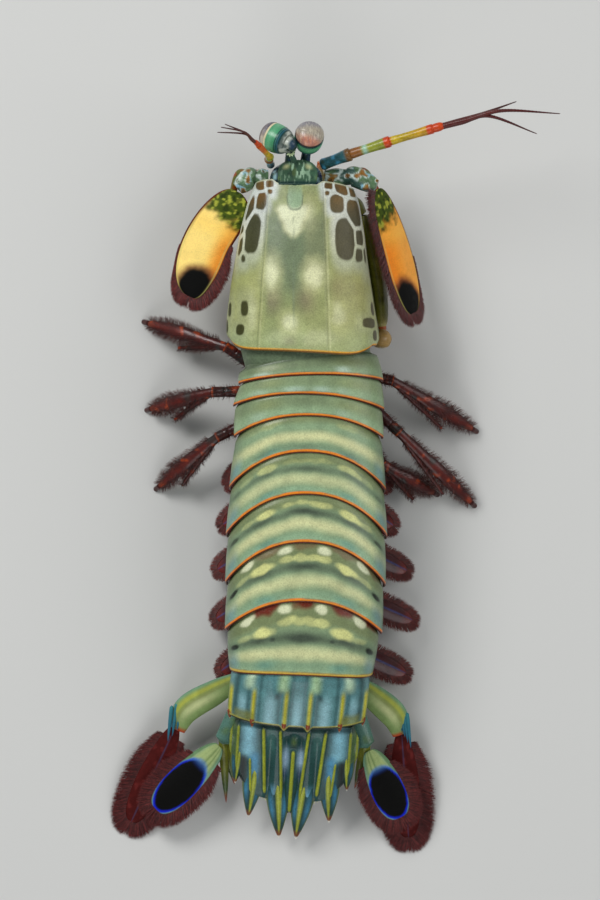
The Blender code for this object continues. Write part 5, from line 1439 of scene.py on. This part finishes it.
# Each antennal scale: where it starts and ends, its tilt in degrees and its sideways bend
SCALES = {
    RIGHT: dict(base=vec(16.6, 55.6, 18.4), tip=vec(24.0, 29.0, 15.0), tilt=54.0, bow=1.2),
    LEFT: dict(base=vec(-13.6, 55.2, 17.4), tip=vec(-23.4, 32.6, 13.4), tilt=14.0, bow=1.6),
}
SCALE_HALF = 5.6
SCALE_THICK = 0.8


def make_antennal_scale(side):
    """The bright blade beside the head: speckled green base, orange field, black spot, dark fringe."""
    pose, tag = SCALES[side], SIDE_NAMES[side]
    paddle = Paddle(pose["base"], pose["tip"], SCALE_HALF, SCALE_THICK, pose["tilt"], side, 0.5,
                    pose["bow"])
    paddle.spread = 0.8 if side == RIGHT else 2.4
    paddle.late = True
    rings, angle, share, top = paddle.rings(7, 110, 84)
    along = (1 - np.cos(angle)) / 2
    wide = paddle.width(angle) * share
    grain = noise(rings, 0.6, 3)
    ragged = 0.05 * noise(rings, 1.2, 5) + 0.03 * grain
    paint = Paint(rings, colour(255, 158, 50) if side == RIGHT else colour(246, 190, 78))
    if side == RIGHT:
        paint.lay(colour(254, 222, 128), soft(wide, -2.5, 2.0) * 0.2)
    else:
        paint.lay(colour(254, 222, 128), soft(wide, -4.5, 0.0))
    paint.lay(colour(238, 128, 34), soft(wide, -1.0, -4.5) * 0.7)
    paint.lay(colour(252, 206, 90), hump(along, 0.36, 0.14) * 0.35)
    base_green = soft(along + ragged + 0.012 * wide, 0.31, 0.20)
    paint.lay(colour(66, 82, 22), base_green)
    paint.lay(colour(170, 176, 64), base_green * soft(grain, 0.05, 0.4) * 0.9)
    paint.lay(colour(34, 46, 16), base_green * soft(noise(rings, 0.7, 8), 0.1, 0.4) * 0.7)
    spot = np.hypot((along - 0.90 - 0.012 * wide) / 0.16, (wide + 0.7) / 4.0)
    paint.lay(colour(110, 52, 44), soft(spot + ragged, 1.40, 0.95) * soft(along, 0.98, 0.88) * 0.8)
    paint.lay(BLACK, soft(spot + ragged, 1.10, 0.78))
    rim = np.abs(share)
    paint.lay(colour(200, 190, 110), hump(rim, 0.86, 0.05) * soft(along, 0.3, 0.5) * 0.6)
    paint.lay(colour(78, 26, 18), soft(rim, 0.90, 0.94))
    paint.lay(colour(100, 40, 22), soft(share, 0.78, 0.90) * soft(along, 0.6, 0.1) * 0.9)
    # Painted shade: the blade's under face gets a darker copy of its own colours
    paint.lay(paint.tint * 0.55, soft(-top, 0.0, 0.5) * 0.8)
    piece = Piece("antennal_blade_" + tag)
    piece.tube(rings, paint.mottle(0.5, 0.04).tint)
    piece.done(FINISHES["blade"], "antennal_scale", "antennal_scale_" + tag)
    piece = Piece("antennal_fringe_" + tag)
    draw = np.random.default_rng(20 + side)
    first = (14, 100) if side == RIGHT else (84, 104)
    tones = (colour(56, 14, 12), colour(112, 34, 30))
    paddle.fringe(piece, 520, (3.0 if side == RIGHT else 0.9, 3.0), first, tones, draw, 3)
    piece.done(FINISHES["bristle"], "antennal_scale")


def make_antenna(side):
    """The stout, blotched base beside the eyes, and the ringed whip laid back under the scale."""
    tag = SIDE_NAMES[side]
    base = SCALES[side]["base"]
    root = HEAD_CENTRE + vec(side * 6.0, -0.6, -0.6)
    elbow = between(root, base, 0.55) + vec(0, 1.6, 0.2)
    end = base + unit(root - base) * 0.25 + vec(0, 0.3, 0.1)
    piece = Piece("antenna_piece_" + tag)
    rows = [*stations(root, elbow, ((0, 1.8), (0.4, 2.1, 2.0), (0.75, 1.7), (1, 2.2, 2.1))),
            *stations(elbow, end, ((0.6, 2.0, 1.9), (1, 1.4)))]
    rings = limb(rows, 64, 44)
    rings = rings + UP * (0.35 * noise(rings, 1.2, 2) + 0.15 * noise(rings, 0.6, 3))[..., None]
    blots = noise(rings, 1.1, 5)
    net = hump(blots, 0.12, 0.20)
    paint = Paint(rings, colour(88, 118, 84))
    paint.lay(colour(52, 84, 84), soft(noise(rings, 1.6, 9), 0.0, 0.5) * 0.8)
    paint.lay(colour(146, 98, 34), soft(blots, 0.20, 0.45))
    paint.lay(colour(80, 60, 22), soft(blots, 0.5, 0.8))
    paint.lay(colour(206, 222, 214), net)
    paint.lay(colour(96, 166, 200), net * soft(noise(rings, 1.3, 14), 0.1, 0.4) * 0.9)
    piece.tube(rings, paint.mottle(0.5, 0.16).tint)
    low = elbow + vec(0, 0.2, -1.4)
    tip = SCALES[side]["tip"]
    under = [between(base, tip, s) - vec(0, 0, drop)
             for s, drop in ((0.12, 5.8), (0.35, 5.6), (0.62, 5.6), (0.9, 6.0))]
    rows = [(*low, 0.95, 0.95), (*(low + vec(side * 2.5, 0.7, -2.6)), 0.9, 0.9),
            (*(under[0] + vec(0, 0.8, 0)), 0.7, 0.7)]
    arm = limb(rows, 40, 20)
    paint = Paint(arm, colour(96, 104, 40))
    piece.tube(arm, paint.lay(colour(150, 62, 22), soft(noise(arm, 1.4, 3), 0.1, 0.5)).tint)
    rows = [(*p, w, w) for p, w in zip(under, (0.6, 0.5, 0.38, 0.12))]
    whip = swollen(limb(rows, 120, 12), 1 + 0.12 * every_third(120))
    piece.tube(whip, Paint(whip, colour(92, 28, 20)).mottle(1.0, 0.2).tint)
    piece.done(FINISHES["limb"], "antenna_base", "antenna_" + tag)


# The limbs under the body

# Each claw: where its thigh and its wrist are, and how far aside the folded hand lies
CLAWS = {
    RIGHT: dict(hip=vec(11.0, 26.0, 7.9), wrist=vec(10.2, 49.4, 10.2), out=5.4),
    LEFT: dict(hip=vec(-8.4, 26.0, 6.8), wrist=vec(-6.4, 49.0, 8.2), out=-4.0),
}
CLAW_OLIVE = colour(96, 98, 34)


def shell_rings(rows, count, sides, up, dents, seed):
    """Rings of a limb whose shell swells and dips a little, and the place along and round it."""
    rings = limb(rows, count, sides, up)
    swell = noise(rings, 2.2, seed) * 0.6 + noise(rings, 0.8, seed + 3) * 0.4
    rings = swollen(rings, 1 + dents * swell[..., None])
    turn = 2 * math.pi * np.arange(sides)[None, :] / sides * np.ones((count, 1))
    return rings, shares_along(rings), turn


def around(turn, middle, reach):
    """1 where the turn round a limb is at middle, and 0 beyond reach, in radians."""
    gap = np.abs((turn - middle + math.pi) % (2 * math.pi) - math.pi)
    return soft(gap, reach, 0.0)


def claw_paint(rings, along, turn, seed):
    """The claw's olive shell, lighter on top and tan at its far end."""
    paint = Paint(rings, CLAW_OLIVE)
    paint.lay(colour(58, 56, 20), soft(noise(rings, 3.0, seed), 0.0, 0.7) * 0.8)
    paint.lay(colour(168, 168, 84), around(turn, math.pi / 2, 0.7)
              * (0.35 + 0.4 * noise(rings, 1.6, seed + 4)))
    paint.lay(colour(176, 146, 80), soft(along, 0.7, 1.0) * around(turn, math.pi / 2, 1.3) * 0.6)
    paint.lay(colour(60, 84, 92), around(turn, -math.pi / 2, 1.1) * 0.5)
    return paint.mottle(1.2, 0.14, seed).mottle(0.5, 0.10, seed + 2)


def make_claw(side):
    """The folded striking limb: thigh, wrist and hand, and the finger with its club."""
    pose, tag = CLAWS[side], SIDE_NAMES[side]
    hip, wrist = pose["hip"], pose["wrist"]
    piece = Piece("claw_thigh_" + tag)
    rows = stations(hip, wrist, ((-0.05, 0.9, 1.4), (0.04, 1.9, 2.6), (0.2, 2.35, 3.3), (0.35, 2.45, 3.55),
                                 (0.6, 2.3, 3.35), (0.78, 2.05, 3.0), (0.92, 1.7, 2.5), (1.0, 1.2, 1.9)))
    rings, along, turn = shell_rings(rows, 90, 48, UP, 0.03, 3)
    piece.tube(rings, claw_paint(rings, along, turn, 5).tint)
    socket = core_section(len(CARAPACE) - 4).under(hip[0], -3.0, 0.45)
    rows = [(*socket, 1.7, 2.2), (*between(socket, hip, 0.5), 1.5, 2.0),
            (*(hip + vec(0, 1.4, 0.6)), 1.2, 1.6)]
    rings, along, turn = shell_rings(rows, 30, 32, vec(0, 1, 0), 0.03, 4)
    piece.tube(rings, claw_paint(rings, along * 0.5, turn, 9).tint)
    piece.done(FINISHES["limb"], "claw", "merus_" + tag)

    aside = vec(pose["out"], 0, 0)
    knuckle = wrist + vec(pose["out"] * 0.2, 2.9, -0.6)
    heel = hip + aside * (1.2 if side == RIGHT else 1.0) + vec(0, 0.5, -0.8)
    start = wrist + aside * 0.66 + vec(0, -0.4, -0.6)
    piece = Piece("claw_hand_" + tag)
    rows = [(*(wrist + vec(0, 0.9, 0)), 1.5, 2.0), (*knuckle, 1.95, 2.45),
            (*between(knuckle, start, 0.7), 1.5, 2.1)]
    rings, along, turn = shell_rings(rows, 40, 36, UP, 0.03, 6)
    piece.tube(rings, claw_paint(rings, along * 0.4, turn, 12).tint)
    rows = stations(start, heel, ((-0.06, 1.2, 1.8), (0.06, 1.7, 2.5), (0.25, 1.95, 2.75), (0.4, 2.0, 2.8),
                                  (0.6, 1.9, 2.65), (0.8, 1.75, 2.4), (0.93, 1.5, 2.1), (1.0, 1.0, 1.5)))
    rows = np.array(rows)
    rows[:, 0] += side * 0.7 * np.sin(math.pi * np.clip([-0.06, 0.06, 0.25, 0.4, 0.6, 0.8, 0.93, 1.0], 0, 1))
    rings, along, turn = shell_rings(rows, 96, 44, UP, 0.025, 7)
    paint = claw_paint(rings, along, turn, 15)
    stripe = math.pi / 2 - side * 0.35
    paint.lay(colour(50, 50, 16), soft(along, 0.5, 0.1) * 0.5)
    paint.lay(colour(150, 150, 50), around(turn, stripe, 0.34) * 0.8)
    paint.lay(colour(178, 168, 104), soft(along, 0.84, 0.97) * 0.7)
    piece.tube(rings, paint.tint)
    for k in range(14):
        root = between(start, heel, 0.12 + 0.055 * k) + vec(-side * 0.3, 0, -2.2)
        rows = [(*(root + vec(0, 0, 0.5)), 0.22, 0.22), (*root, 0.2, 0.2),
                (*(root + vec(0, 0, -0.55)), 0.05, 0.05)]
        tooth = limb(rows, 8, 8, vec(0, 1, 0))
        piece.tube(tooth, Paint(tooth, colour(206, 196, 150)).tint)
    piece.done(FINISHES["limb"], "claw", "propodus_" + tag)

    ball = heel + vec(0, -2.7, -0.7)
    piece = Piece("claw_club_" + tag)
    rows = [(*(ball + vec(0, -2.0, 0)), 0.5, 0.5), (*(ball + vec(0, -1.5, 0)), 1.6, 1.6), (*ball, 2.2, 2.25),
            (*(ball + vec(0, 0.8, -0.7)), 1.75, 1.8), (*(ball + vec(0, 1.2, -1.1)), 1.3, 1.3)]
    rings, along, turn = shell_rings(rows, 50, 44, UP, 0.015, 2)
    paint = Paint(rings, colour(176, 142, 84))
    paint.lay(colour(214, 196, 150), soft(along, 0.24, 0.06) * 0.85)
    paint.lay(colour(186, 104, 54), around(turn, -math.pi / 2, 1.6) * soft(along, 0.2, 0.6) * 0.7)
    piece.tube(rings, paint.mottle(0.9, 0.10).mottle(0.3, 0.06).tint)
    low = ball + vec(0, 0.4, -1.4)
    rows = [(*low, 1.15, 1.15), (*(heel + vec(0, 2.0, -3.4)), 0.98, 1.05),
            (*(heel + vec(0, 9.0, -3.9)), 0.72, 0.85), (*(heel + vec(0, 15.0, -3.9)), 0.16, 0.20)]
    rings, along, turn = shell_rings(rows, 70, 24, UP, 0.02, 8)
    paint = Paint(rings, colour(178, 98, 58)).lay(colour(226, 190, 150), soft(along, 0.7, 1.0))
    piece.tube(rings, paint.mottle(0.9, 0.12).tint)
    piece.done(FINISHES["eyestalk"], "club", "dactyl_" + tag)


def hairs_on(piece, rings, count, reach, ends, sides, tones, draw, back, wide=0.11):
    """Bristles on a limb's shell. ends and sides say where along and round it they stand, and back
    is the direction that they lean."""
    rows, columns = rings.shape[:2]
    along = draw.uniform(ends[0], ends[1], count)
    turn = (draw.choice(sides, count) + draw.normal(0, 0.6, count)) % (2 * math.pi)
    row = np.clip((along * (rows - 1)).astype(int), 0, rows - 1)
    column = (turn / (2 * math.pi) * columns).astype(int) % columns
    middle = rings.mean(axis=1)[row]
    skin = rings[row, column]
    out = unit(skin - middle)
    root = between(middle, skin, 0.93)
    lean = unit(out + back * draw.uniform(0.4, 1.3, (count, 1)) + 0.2 * draw.normal(size=(count, 3)))
    size = draw.uniform(0.6, 1.0, count) * reach * (0.6 + 0.4 * hump(along, 0.6, 0.6))
    tip = root + lean * size[:, None]
    tip[:, 2] = np.maximum(tip[:, 2], 0.08)
    tone = between(tones[0], tones[1], draw.uniform(0, 1, (count, 1)))
    place = np.stack([0.03 + 0.93 * along, 0.03 + 0.93 * turn / (2 * math.pi)], axis=-1)
    bristles(piece, root, tip, out, wide, tone, place, draw)


# The small limbs under the mouth: the carapace's station that carries each, and how far back
MAXILLIPEDS = (("maxilliped_3", 1, -4.6), ("maxilliped_4", 2, -4.4), ("maxilliped_5", 3, -4.6))


def make_maxilliped(name, station, back, side):
    """A small folded limb under the mouth, with a round hand and a hooked finger."""
    tag = SIDE_NAMES[side]
    draw = np.random.default_rng(station * 10 + side)
    root = core_section(station).under(side * 2.5 - 0.6, back, 0.25)
    elbow = root + vec(side * 1.6, 1.2, -4.6)
    wrist = elbow + vec(-side * 0.6, 4.6, -1.4)
    hand = wrist + vec(-side * 1.0, 2.8, 0.3)
    up = vec(0, 1, 0.3)
    piece = Piece("small_limb_" + name[-1] + "_" + tag)
    hair = Piece("small_limb_hair_" + name[-1] + "_" + tag)
    rows = [(*root, 0.85, 0.85), (*between(root, elbow, 0.6), 0.8, 0.8), (*elbow, 0.85, 0.85),
            (*between(elbow, wrist, 0.5), 0.75, 0.75), (*wrist, 0.6, 0.6)]
    rings, _, _ = shell_rings(rows, 54, 20, up, 0.05, 3)
    paint = Paint(rings, colour(132, 124, 68))
    paint.lay(colour(150, 66, 36), soft(noise(rings, 1.6, 3), 0.1, 0.6) * 0.7)
    piece.tube(rings, paint.mottle(0.6, 0.15).tint)
    tones = (colour(120, 84, 50), colour(176, 140, 90))
    hairs_on(hair, rings, 130, 1.2, (0.3, 1.0), BOTH_EDGES, tones, draw, vec(0, 0.2, -0.8), 0.07)
    rows = [(*(wrist + vec(0, -0.6, 0)), 0.5, 0.8), (*between(wrist, hand, 0.3), 0.78, 1.5),
            (*between(wrist, hand, 0.7), 0.75, 1.65), (*(hand + vec(0, 0.6, 0.2)), 0.35, 0.7)]
    rings, along, _ = shell_rings(rows, 34, 24, UP, 0.04, 5)
    paint = Paint(rings, colour(150, 140, 84)).lay(colour(170, 70, 36), soft(along, 0.6, 1.0) * 0.7)
    piece.tube(rings, paint.mottle(0.6, 0.15).tint)
    hairs_on(hair, rings, 110, 1.1, (0.2, 0.95), (1.57, 4.7), tones, draw, vec(0, 0.6, -0.4), 0.07)
    curl = ((0.5, 0.3, 0.32), (1.0, -0.4, 0.3), (0.4, -1.3, 0.22), (-0.5, -1.5, 0.05))
    rings = limb([(*(hand + vec(0, y, z)), w, w) for y, z, w in curl], 22, 12, vec(1, 0, 0))
    piece.tube(rings, Paint(rings, colour(180, 90, 50)).lay(BONE, 0.8 * shares_along(rings)).tint)
    piece.done(FINISHES["limb"], "small_limb", name + "_" + tag)
    hair.done(FINISHES["bristle"], "small_limb")


# Walking legs: the body ring that carries each, its place across, knee and foot
LEGS = {
    ("leg_1", RIGHT): ("thorax_6", 9.6, (20.0, 14.8, 10.8), (38.0, 4.0)),
    ("leg_2", RIGHT): ("thorax_7", 9.6, (21.4, 3.6, 10.6), (37.6, -12.0)),
    ("leg_3", RIGHT): ("thorax_8", 9.6, (17.6, -3.2, 8.6), (29.6, -9.6)),
    ("leg_1", LEFT): ("thorax_6", -7.8, (-16.0, 22.2, 9.8), (-33.6, 27.6)),
    ("leg_2", LEFT): ("thorax_7", -7.8, (-19.0, 12.4, 10.2), (-33.0, 8.6)),
    ("leg_3", LEFT): ("thorax_8", -7.8, (-18.0, 2.6, 10.0), (-31.0, -8.4)),
}
FOOT_RADIUS = 0.6
BOTH_EDGES = (0.0, math.pi)
LEG_TONES = (colour(52, 18, 14), colour(98, 40, 30))


def leg_paint(rings, turn, seed):
    """The legs' dark red shell, with greenish and orange blotches."""
    paint = Paint(rings, colour(56, 16, 14))
    paint.lay(colour(112, 34, 22), around(turn, math.pi / 2, 1.0)
              * (0.4 + 0.4 * noise(rings, 1.6, seed)))
    paint.lay(colour(30, 44, 40), soft(noise(rings, 2.2, seed + 3), 0.1, 0.6) * 0.7)
    paint.lay(colour(176, 70, 26), soft(noise(rings, 1.1, seed + 7), 0.42, 0.7) * 0.6)
    return paint.mottle(0.5, 0.2, seed)


def make_leg(name, side):
    """An upper leg, and below the knee a flat bristly branch that stands and a slender one."""
    carrier, across, knee, foot = LEGS[(name, side)]
    tag = name[-1] + "_" + SIDE_NAMES[side]
    draw = np.random.default_rng(60 + int(name[-1]) * 2 + side)
    body = ring_middle(carrier)
    root = body.under(across, 0.0, 0.5)
    knee, foot = vec(*knee), vec(*foot, 0.0)
    hip = body.under(across + side * 0.3, 0.0, 2.75)
    bend = between(hip, knee, 0.5)
    piece = Piece("walking_leg_" + tag)
    hair = Piece("walking_leg_hair_" + tag)
    rows = [(*root, 1.1, 1.1), (*hip, 1.25, 1.25), (*bend, 1.25, 1.25),
            *stations(bend, knee, ((0.6, 1.15), (1, 1.15)))]
    rings, along, turn = shell_rings(rows, 70, 24, UP, 0.05, 4)
    joint = 1 - 0.18 * hump(along, 0.36, 0.03) - 0.12 * hump(along, 0.72, 0.02)
    rings = swollen(rings, joint[..., None])
    paint = leg_paint(rings, turn, 3)
    paint.lay(colour(60, 110, 110), hump(along, 0.36, 0.05) * 0.7)
    paint.lay(colour(200, 84, 24), soft(along, 0.93, 0.99) * 0.8)
    piece.tube(rings, paint.tint)
    trail = unit(foot - knee)
    hairs_on(hair, rings, 260, 1.5, (0.45, 1.0), BOTH_EDGES, LEG_TONES, draw, trail)
    ankle = foot + vec(0, 0, 0.9) + unit(knee - foot) * 1.2
    shin = between(knee, ankle, 0.55) + vec(0, 0, 1.2)
    inward = unit(root - knee)
    rows = [(*(knee + inward * 0.6), 1.0, 0.8), (*between(knee, shin, 0.5), 1.2, 0.8), (*shin, 1.5, 0.8),
            (*between(shin, ankle, 0.5), 1.4, 0.75), (*ankle, 0.65, 0.6)]
    rings, along, turn = shell_rings(rows, 80, 26, UP, 0.05, 6)
    paint = leg_paint(rings, turn, 8).lay(colour(150, 60, 30), soft(along, 0.85, 1.0) * 0.5)
    piece.tube(rings, paint.tint)
    hairs_on(hair, rings, 900, 2.1, (0.10, 1.0), BOTH_EDGES, LEG_TONES, draw, trail * 0.8)
    turns = 2 * math.pi * np.arange(20) / 20
    circle = np.stack([np.cos(turns), np.sin(turns), turns * 0], axis=-1) * FOOT_RADIUS
    pad = np.array([ankle + UP * 0.2 + circle, foot + UP * 0.15 + circle, foot + circle * 0.9])
    piece.tube(pad, Paint(pad, colour(60, 20, 16)).tint)
    twig_end = between(knee, foot, 0.62) + vec(side * -0.6, -3.6, 0.6)
    twig_end[2] = max(twig_end[2], 1.2)
    rows = [(*(knee + inward * 0.4), 0.75, 0.75), *stations(knee, twig_end, ((0.5, 0.6), (1, 0.3)))]
    rings, _, turn = shell_rings(rows, 50, 16, UP, 0.05, 9)
    piece.tube(rings, leg_paint(rings, turn, 11).tint)
    hairs_on(hair, rings, 420, 1.5, (0.2, 1.0), BOTH_EDGES, LEG_TONES, draw, trail)
    piece.done(FINISHES["limb"], "leg", name + "_" + SIDE_NAMES[side])
    hair.done(FINISHES["bristle"], "leg")


# How far each swimming flap reaches beyond the body's side, and how far across it starts
PLEOPOD_OUT = {RIGHT: (0.8, 1.6, 4.6, 6.4, 6.4), LEFT: (0.8, 1.2, 2.0, 2.2, 1.6)}
PLEOPOD_ROOT = 8.2
PLEOPOD_TONES = (colour(56, 18, 16), colour(112, 40, 32))


def leaf(paddle):
    """A flap's leaf as rings of points and their colours: dark red, blue towards its base."""
    rings, angle, share, _ = paddle.rings(10, 40, 36)
    along = (1 - np.cos(angle)) / 2
    paint = Paint(rings, colour(62, 20, 22))
    paint.lay(colour(36, 74, 108), soft(along, 0.55, 0.30))
    paint.lay(colour(120, 32, 22), soft(along, 0.80, 0.94) * 0.5)
    paint.lay(colour(40, 70, 130), hump(share, 0.0, 0.16) * 0.6)
    return rings, paint.mottle(0.7, 0.15).tint


def make_pleopod(index, side):
    """A swimming flap: a short stem, two leaves edged with bristles, and a tuft of gills."""
    tag = f"{index}_{SIDE_NAMES[side]}"
    draw = np.random.default_rng(80 + index * 2 + side)
    body = ring_middle(f"abdomen_{index}")
    root = body.under(side * PLEOPOD_ROOT, 0.0, 0.85)
    stem_end = root + vec(side * 1.6, -1.4, -3.6)
    piece = Piece("swimmeret_" + tag)
    hair = Piece("swimmeret_hair_" + tag)
    rows = [(*root, 1.7, 1.2), (*between(root, stem_end, 0.5), 1.9, 1.2), (*stem_end, 1.6, 1.1)]
    rings, along, _ = shell_rings(rows, 26, 24, vec(0, 1, 0), 0.04, 3)
    paint = Paint(rings, colour(96, 110, 96)).lay(colour(120, 44, 34), soft(along, 0.3, 0.9) * 0.8)
    piece.tube(rings, paint.mottle(0.8, 0.2).tint)
    reach = body.half + PLEOPOD_OUT[side][index - 1] - PLEOPOD_ROOT
    outer = Paddle(stem_end + vec(-side * 0.8, 0, 0.5), stem_end + vec(side * (reach - 1.6), -6.2, -3.6),
                   2.4, 0.7, 30, side, 0.3)
    inner = Paddle(stem_end + vec(side * 0.4, 0, 0.5), stem_end + vec(-side * 1.2, -7.0, -4.8),
                   3.0, 0.7, 20, side, 0.3)
    for paddle in (outer, inner):
        piece.tube(*leaf(paddle))
        paddle.fringe(hair, 260, (0.8, 2.2), (40, 40), PLEOPOD_TONES, draw, 2)
    for k in range(9):
        start = stem_end + vec(-side * (0.4 + 0.25 * k), 0.3 - 0.35 * k, 0.5)
        end = start + vec(-side * (1.5 + draw.uniform(0, 1)), draw.uniform(-1, 0.6),
                          draw.uniform(-1.6, -0.4))
        middle = between(start, end, 0.5) + vec(0, 0.3, 0.4)
        rings = limb([(*start, 0.28, 0.28), (*middle, 0.24, 0.24), (*end, 0.08, 0.08)], 14, 8)
        piece.tube(rings, Paint(rings, colour(200, 160, 140)).tint)
    piece.done(FINISHES["limb"], "swimmeret", "pleopod_" + tag)
    hair.done(FINISHES["bristle"], "swimmeret")


# The stage: a plain pale floor, soft light and the camera straight above the photo's middle

# The camera's height above the body's level in metres, the photo's height in pixels, and that
# level in millimetres
CAMERA_ABOVE = 1.25
PHOTO_HEIGHT = 900.0
BODY_LEVEL = 20.0
# The lamps: name, place, size and power
LAMPS = (
    ("key", (-0.50, 0.52, 0.66), 0.40, 6.0),
    ("fill", (0.66, 0.12, 0.62), 0.6, 2.7),
    ("rear", (-0.1, -0.75, 0.55), 0.5, 1.8),
)


def make_stage():
    """The floor, the light and the camera."""
    bpy.ops.mesh.primitive_plane_add(size=3.0, location=(0, 0, -0.0002))
    floor = bpy.context.object
    floor.name = "floor"
    pale = bpy.data.materials.new("pale_floor")
    pale.use_nodes = True
    shader = pale.node_tree.nodes["Principled BSDF"]
    shader.inputs["Base Color"].default_value = (0.62, 0.62, 0.60, 1.0)
    shader.inputs["Roughness"].default_value = 0.8
    floor.data.materials.append(pale)

    scene = bpy.context.scene
    scene.view_settings.view_transform = "Standard"
    scene.world = scene.world or bpy.data.worlds.new("studio")
    scene.world.use_nodes = True
    sky = scene.world.node_tree.nodes["Background"]
    sky.inputs["Color"].default_value = (0.92, 0.96, 1.0, 1.0)
    sky.inputs["Strength"].default_value = 0.26
    for name, place, size, power in LAMPS:
        lamp = bpy.data.lights.new(name, "AREA")
        lamp.size = size
        lamp.energy = power
        obj = bpy.data.objects.new(name, lamp)
        obj.location = place
        obj.rotation_euler = (Vector((0, 0, 0.01)) - Vector(place)).to_track_quat("-Z", "Y").to_euler()
        scene.collection.objects.link(obj)

    lens = bpy.data.cameras.new("camera")
    lens.sensor_width = 36.0
    lens.lens = 18.0 * CAMERA_ABOVE / (PHOTO_HEIGHT / 2 * PIXEL * MM)
    camera = bpy.data.objects.new("camera", lens)
    camera.location = (TO_ORIGIN[0] * MM, TO_ORIGIN[1] * MM, CAMERA_ABOVE + BODY_LEVEL * MM)
    scene.collection.objects.link(camera)
    scene.camera = camera


make_body_skin()
make_plates()
make_carapace()
make_last_ring()
make_telson()
make_head()
make_rostral_plate()
for side in (RIGHT, LEFT):
    make_uropod(side)
    make_eye(side)
    make_antennule(side)
    make_antenna(side)
    make_antennal_scale(side)
    make_claw(side)
    for row in MAXILLIPEDS:
        make_maxilliped(*row, side)
    for index in range(1, 6):
        make_pleopod(index, side)
for name, side in LEGS:
    make_leg(name, side)
make_stage()
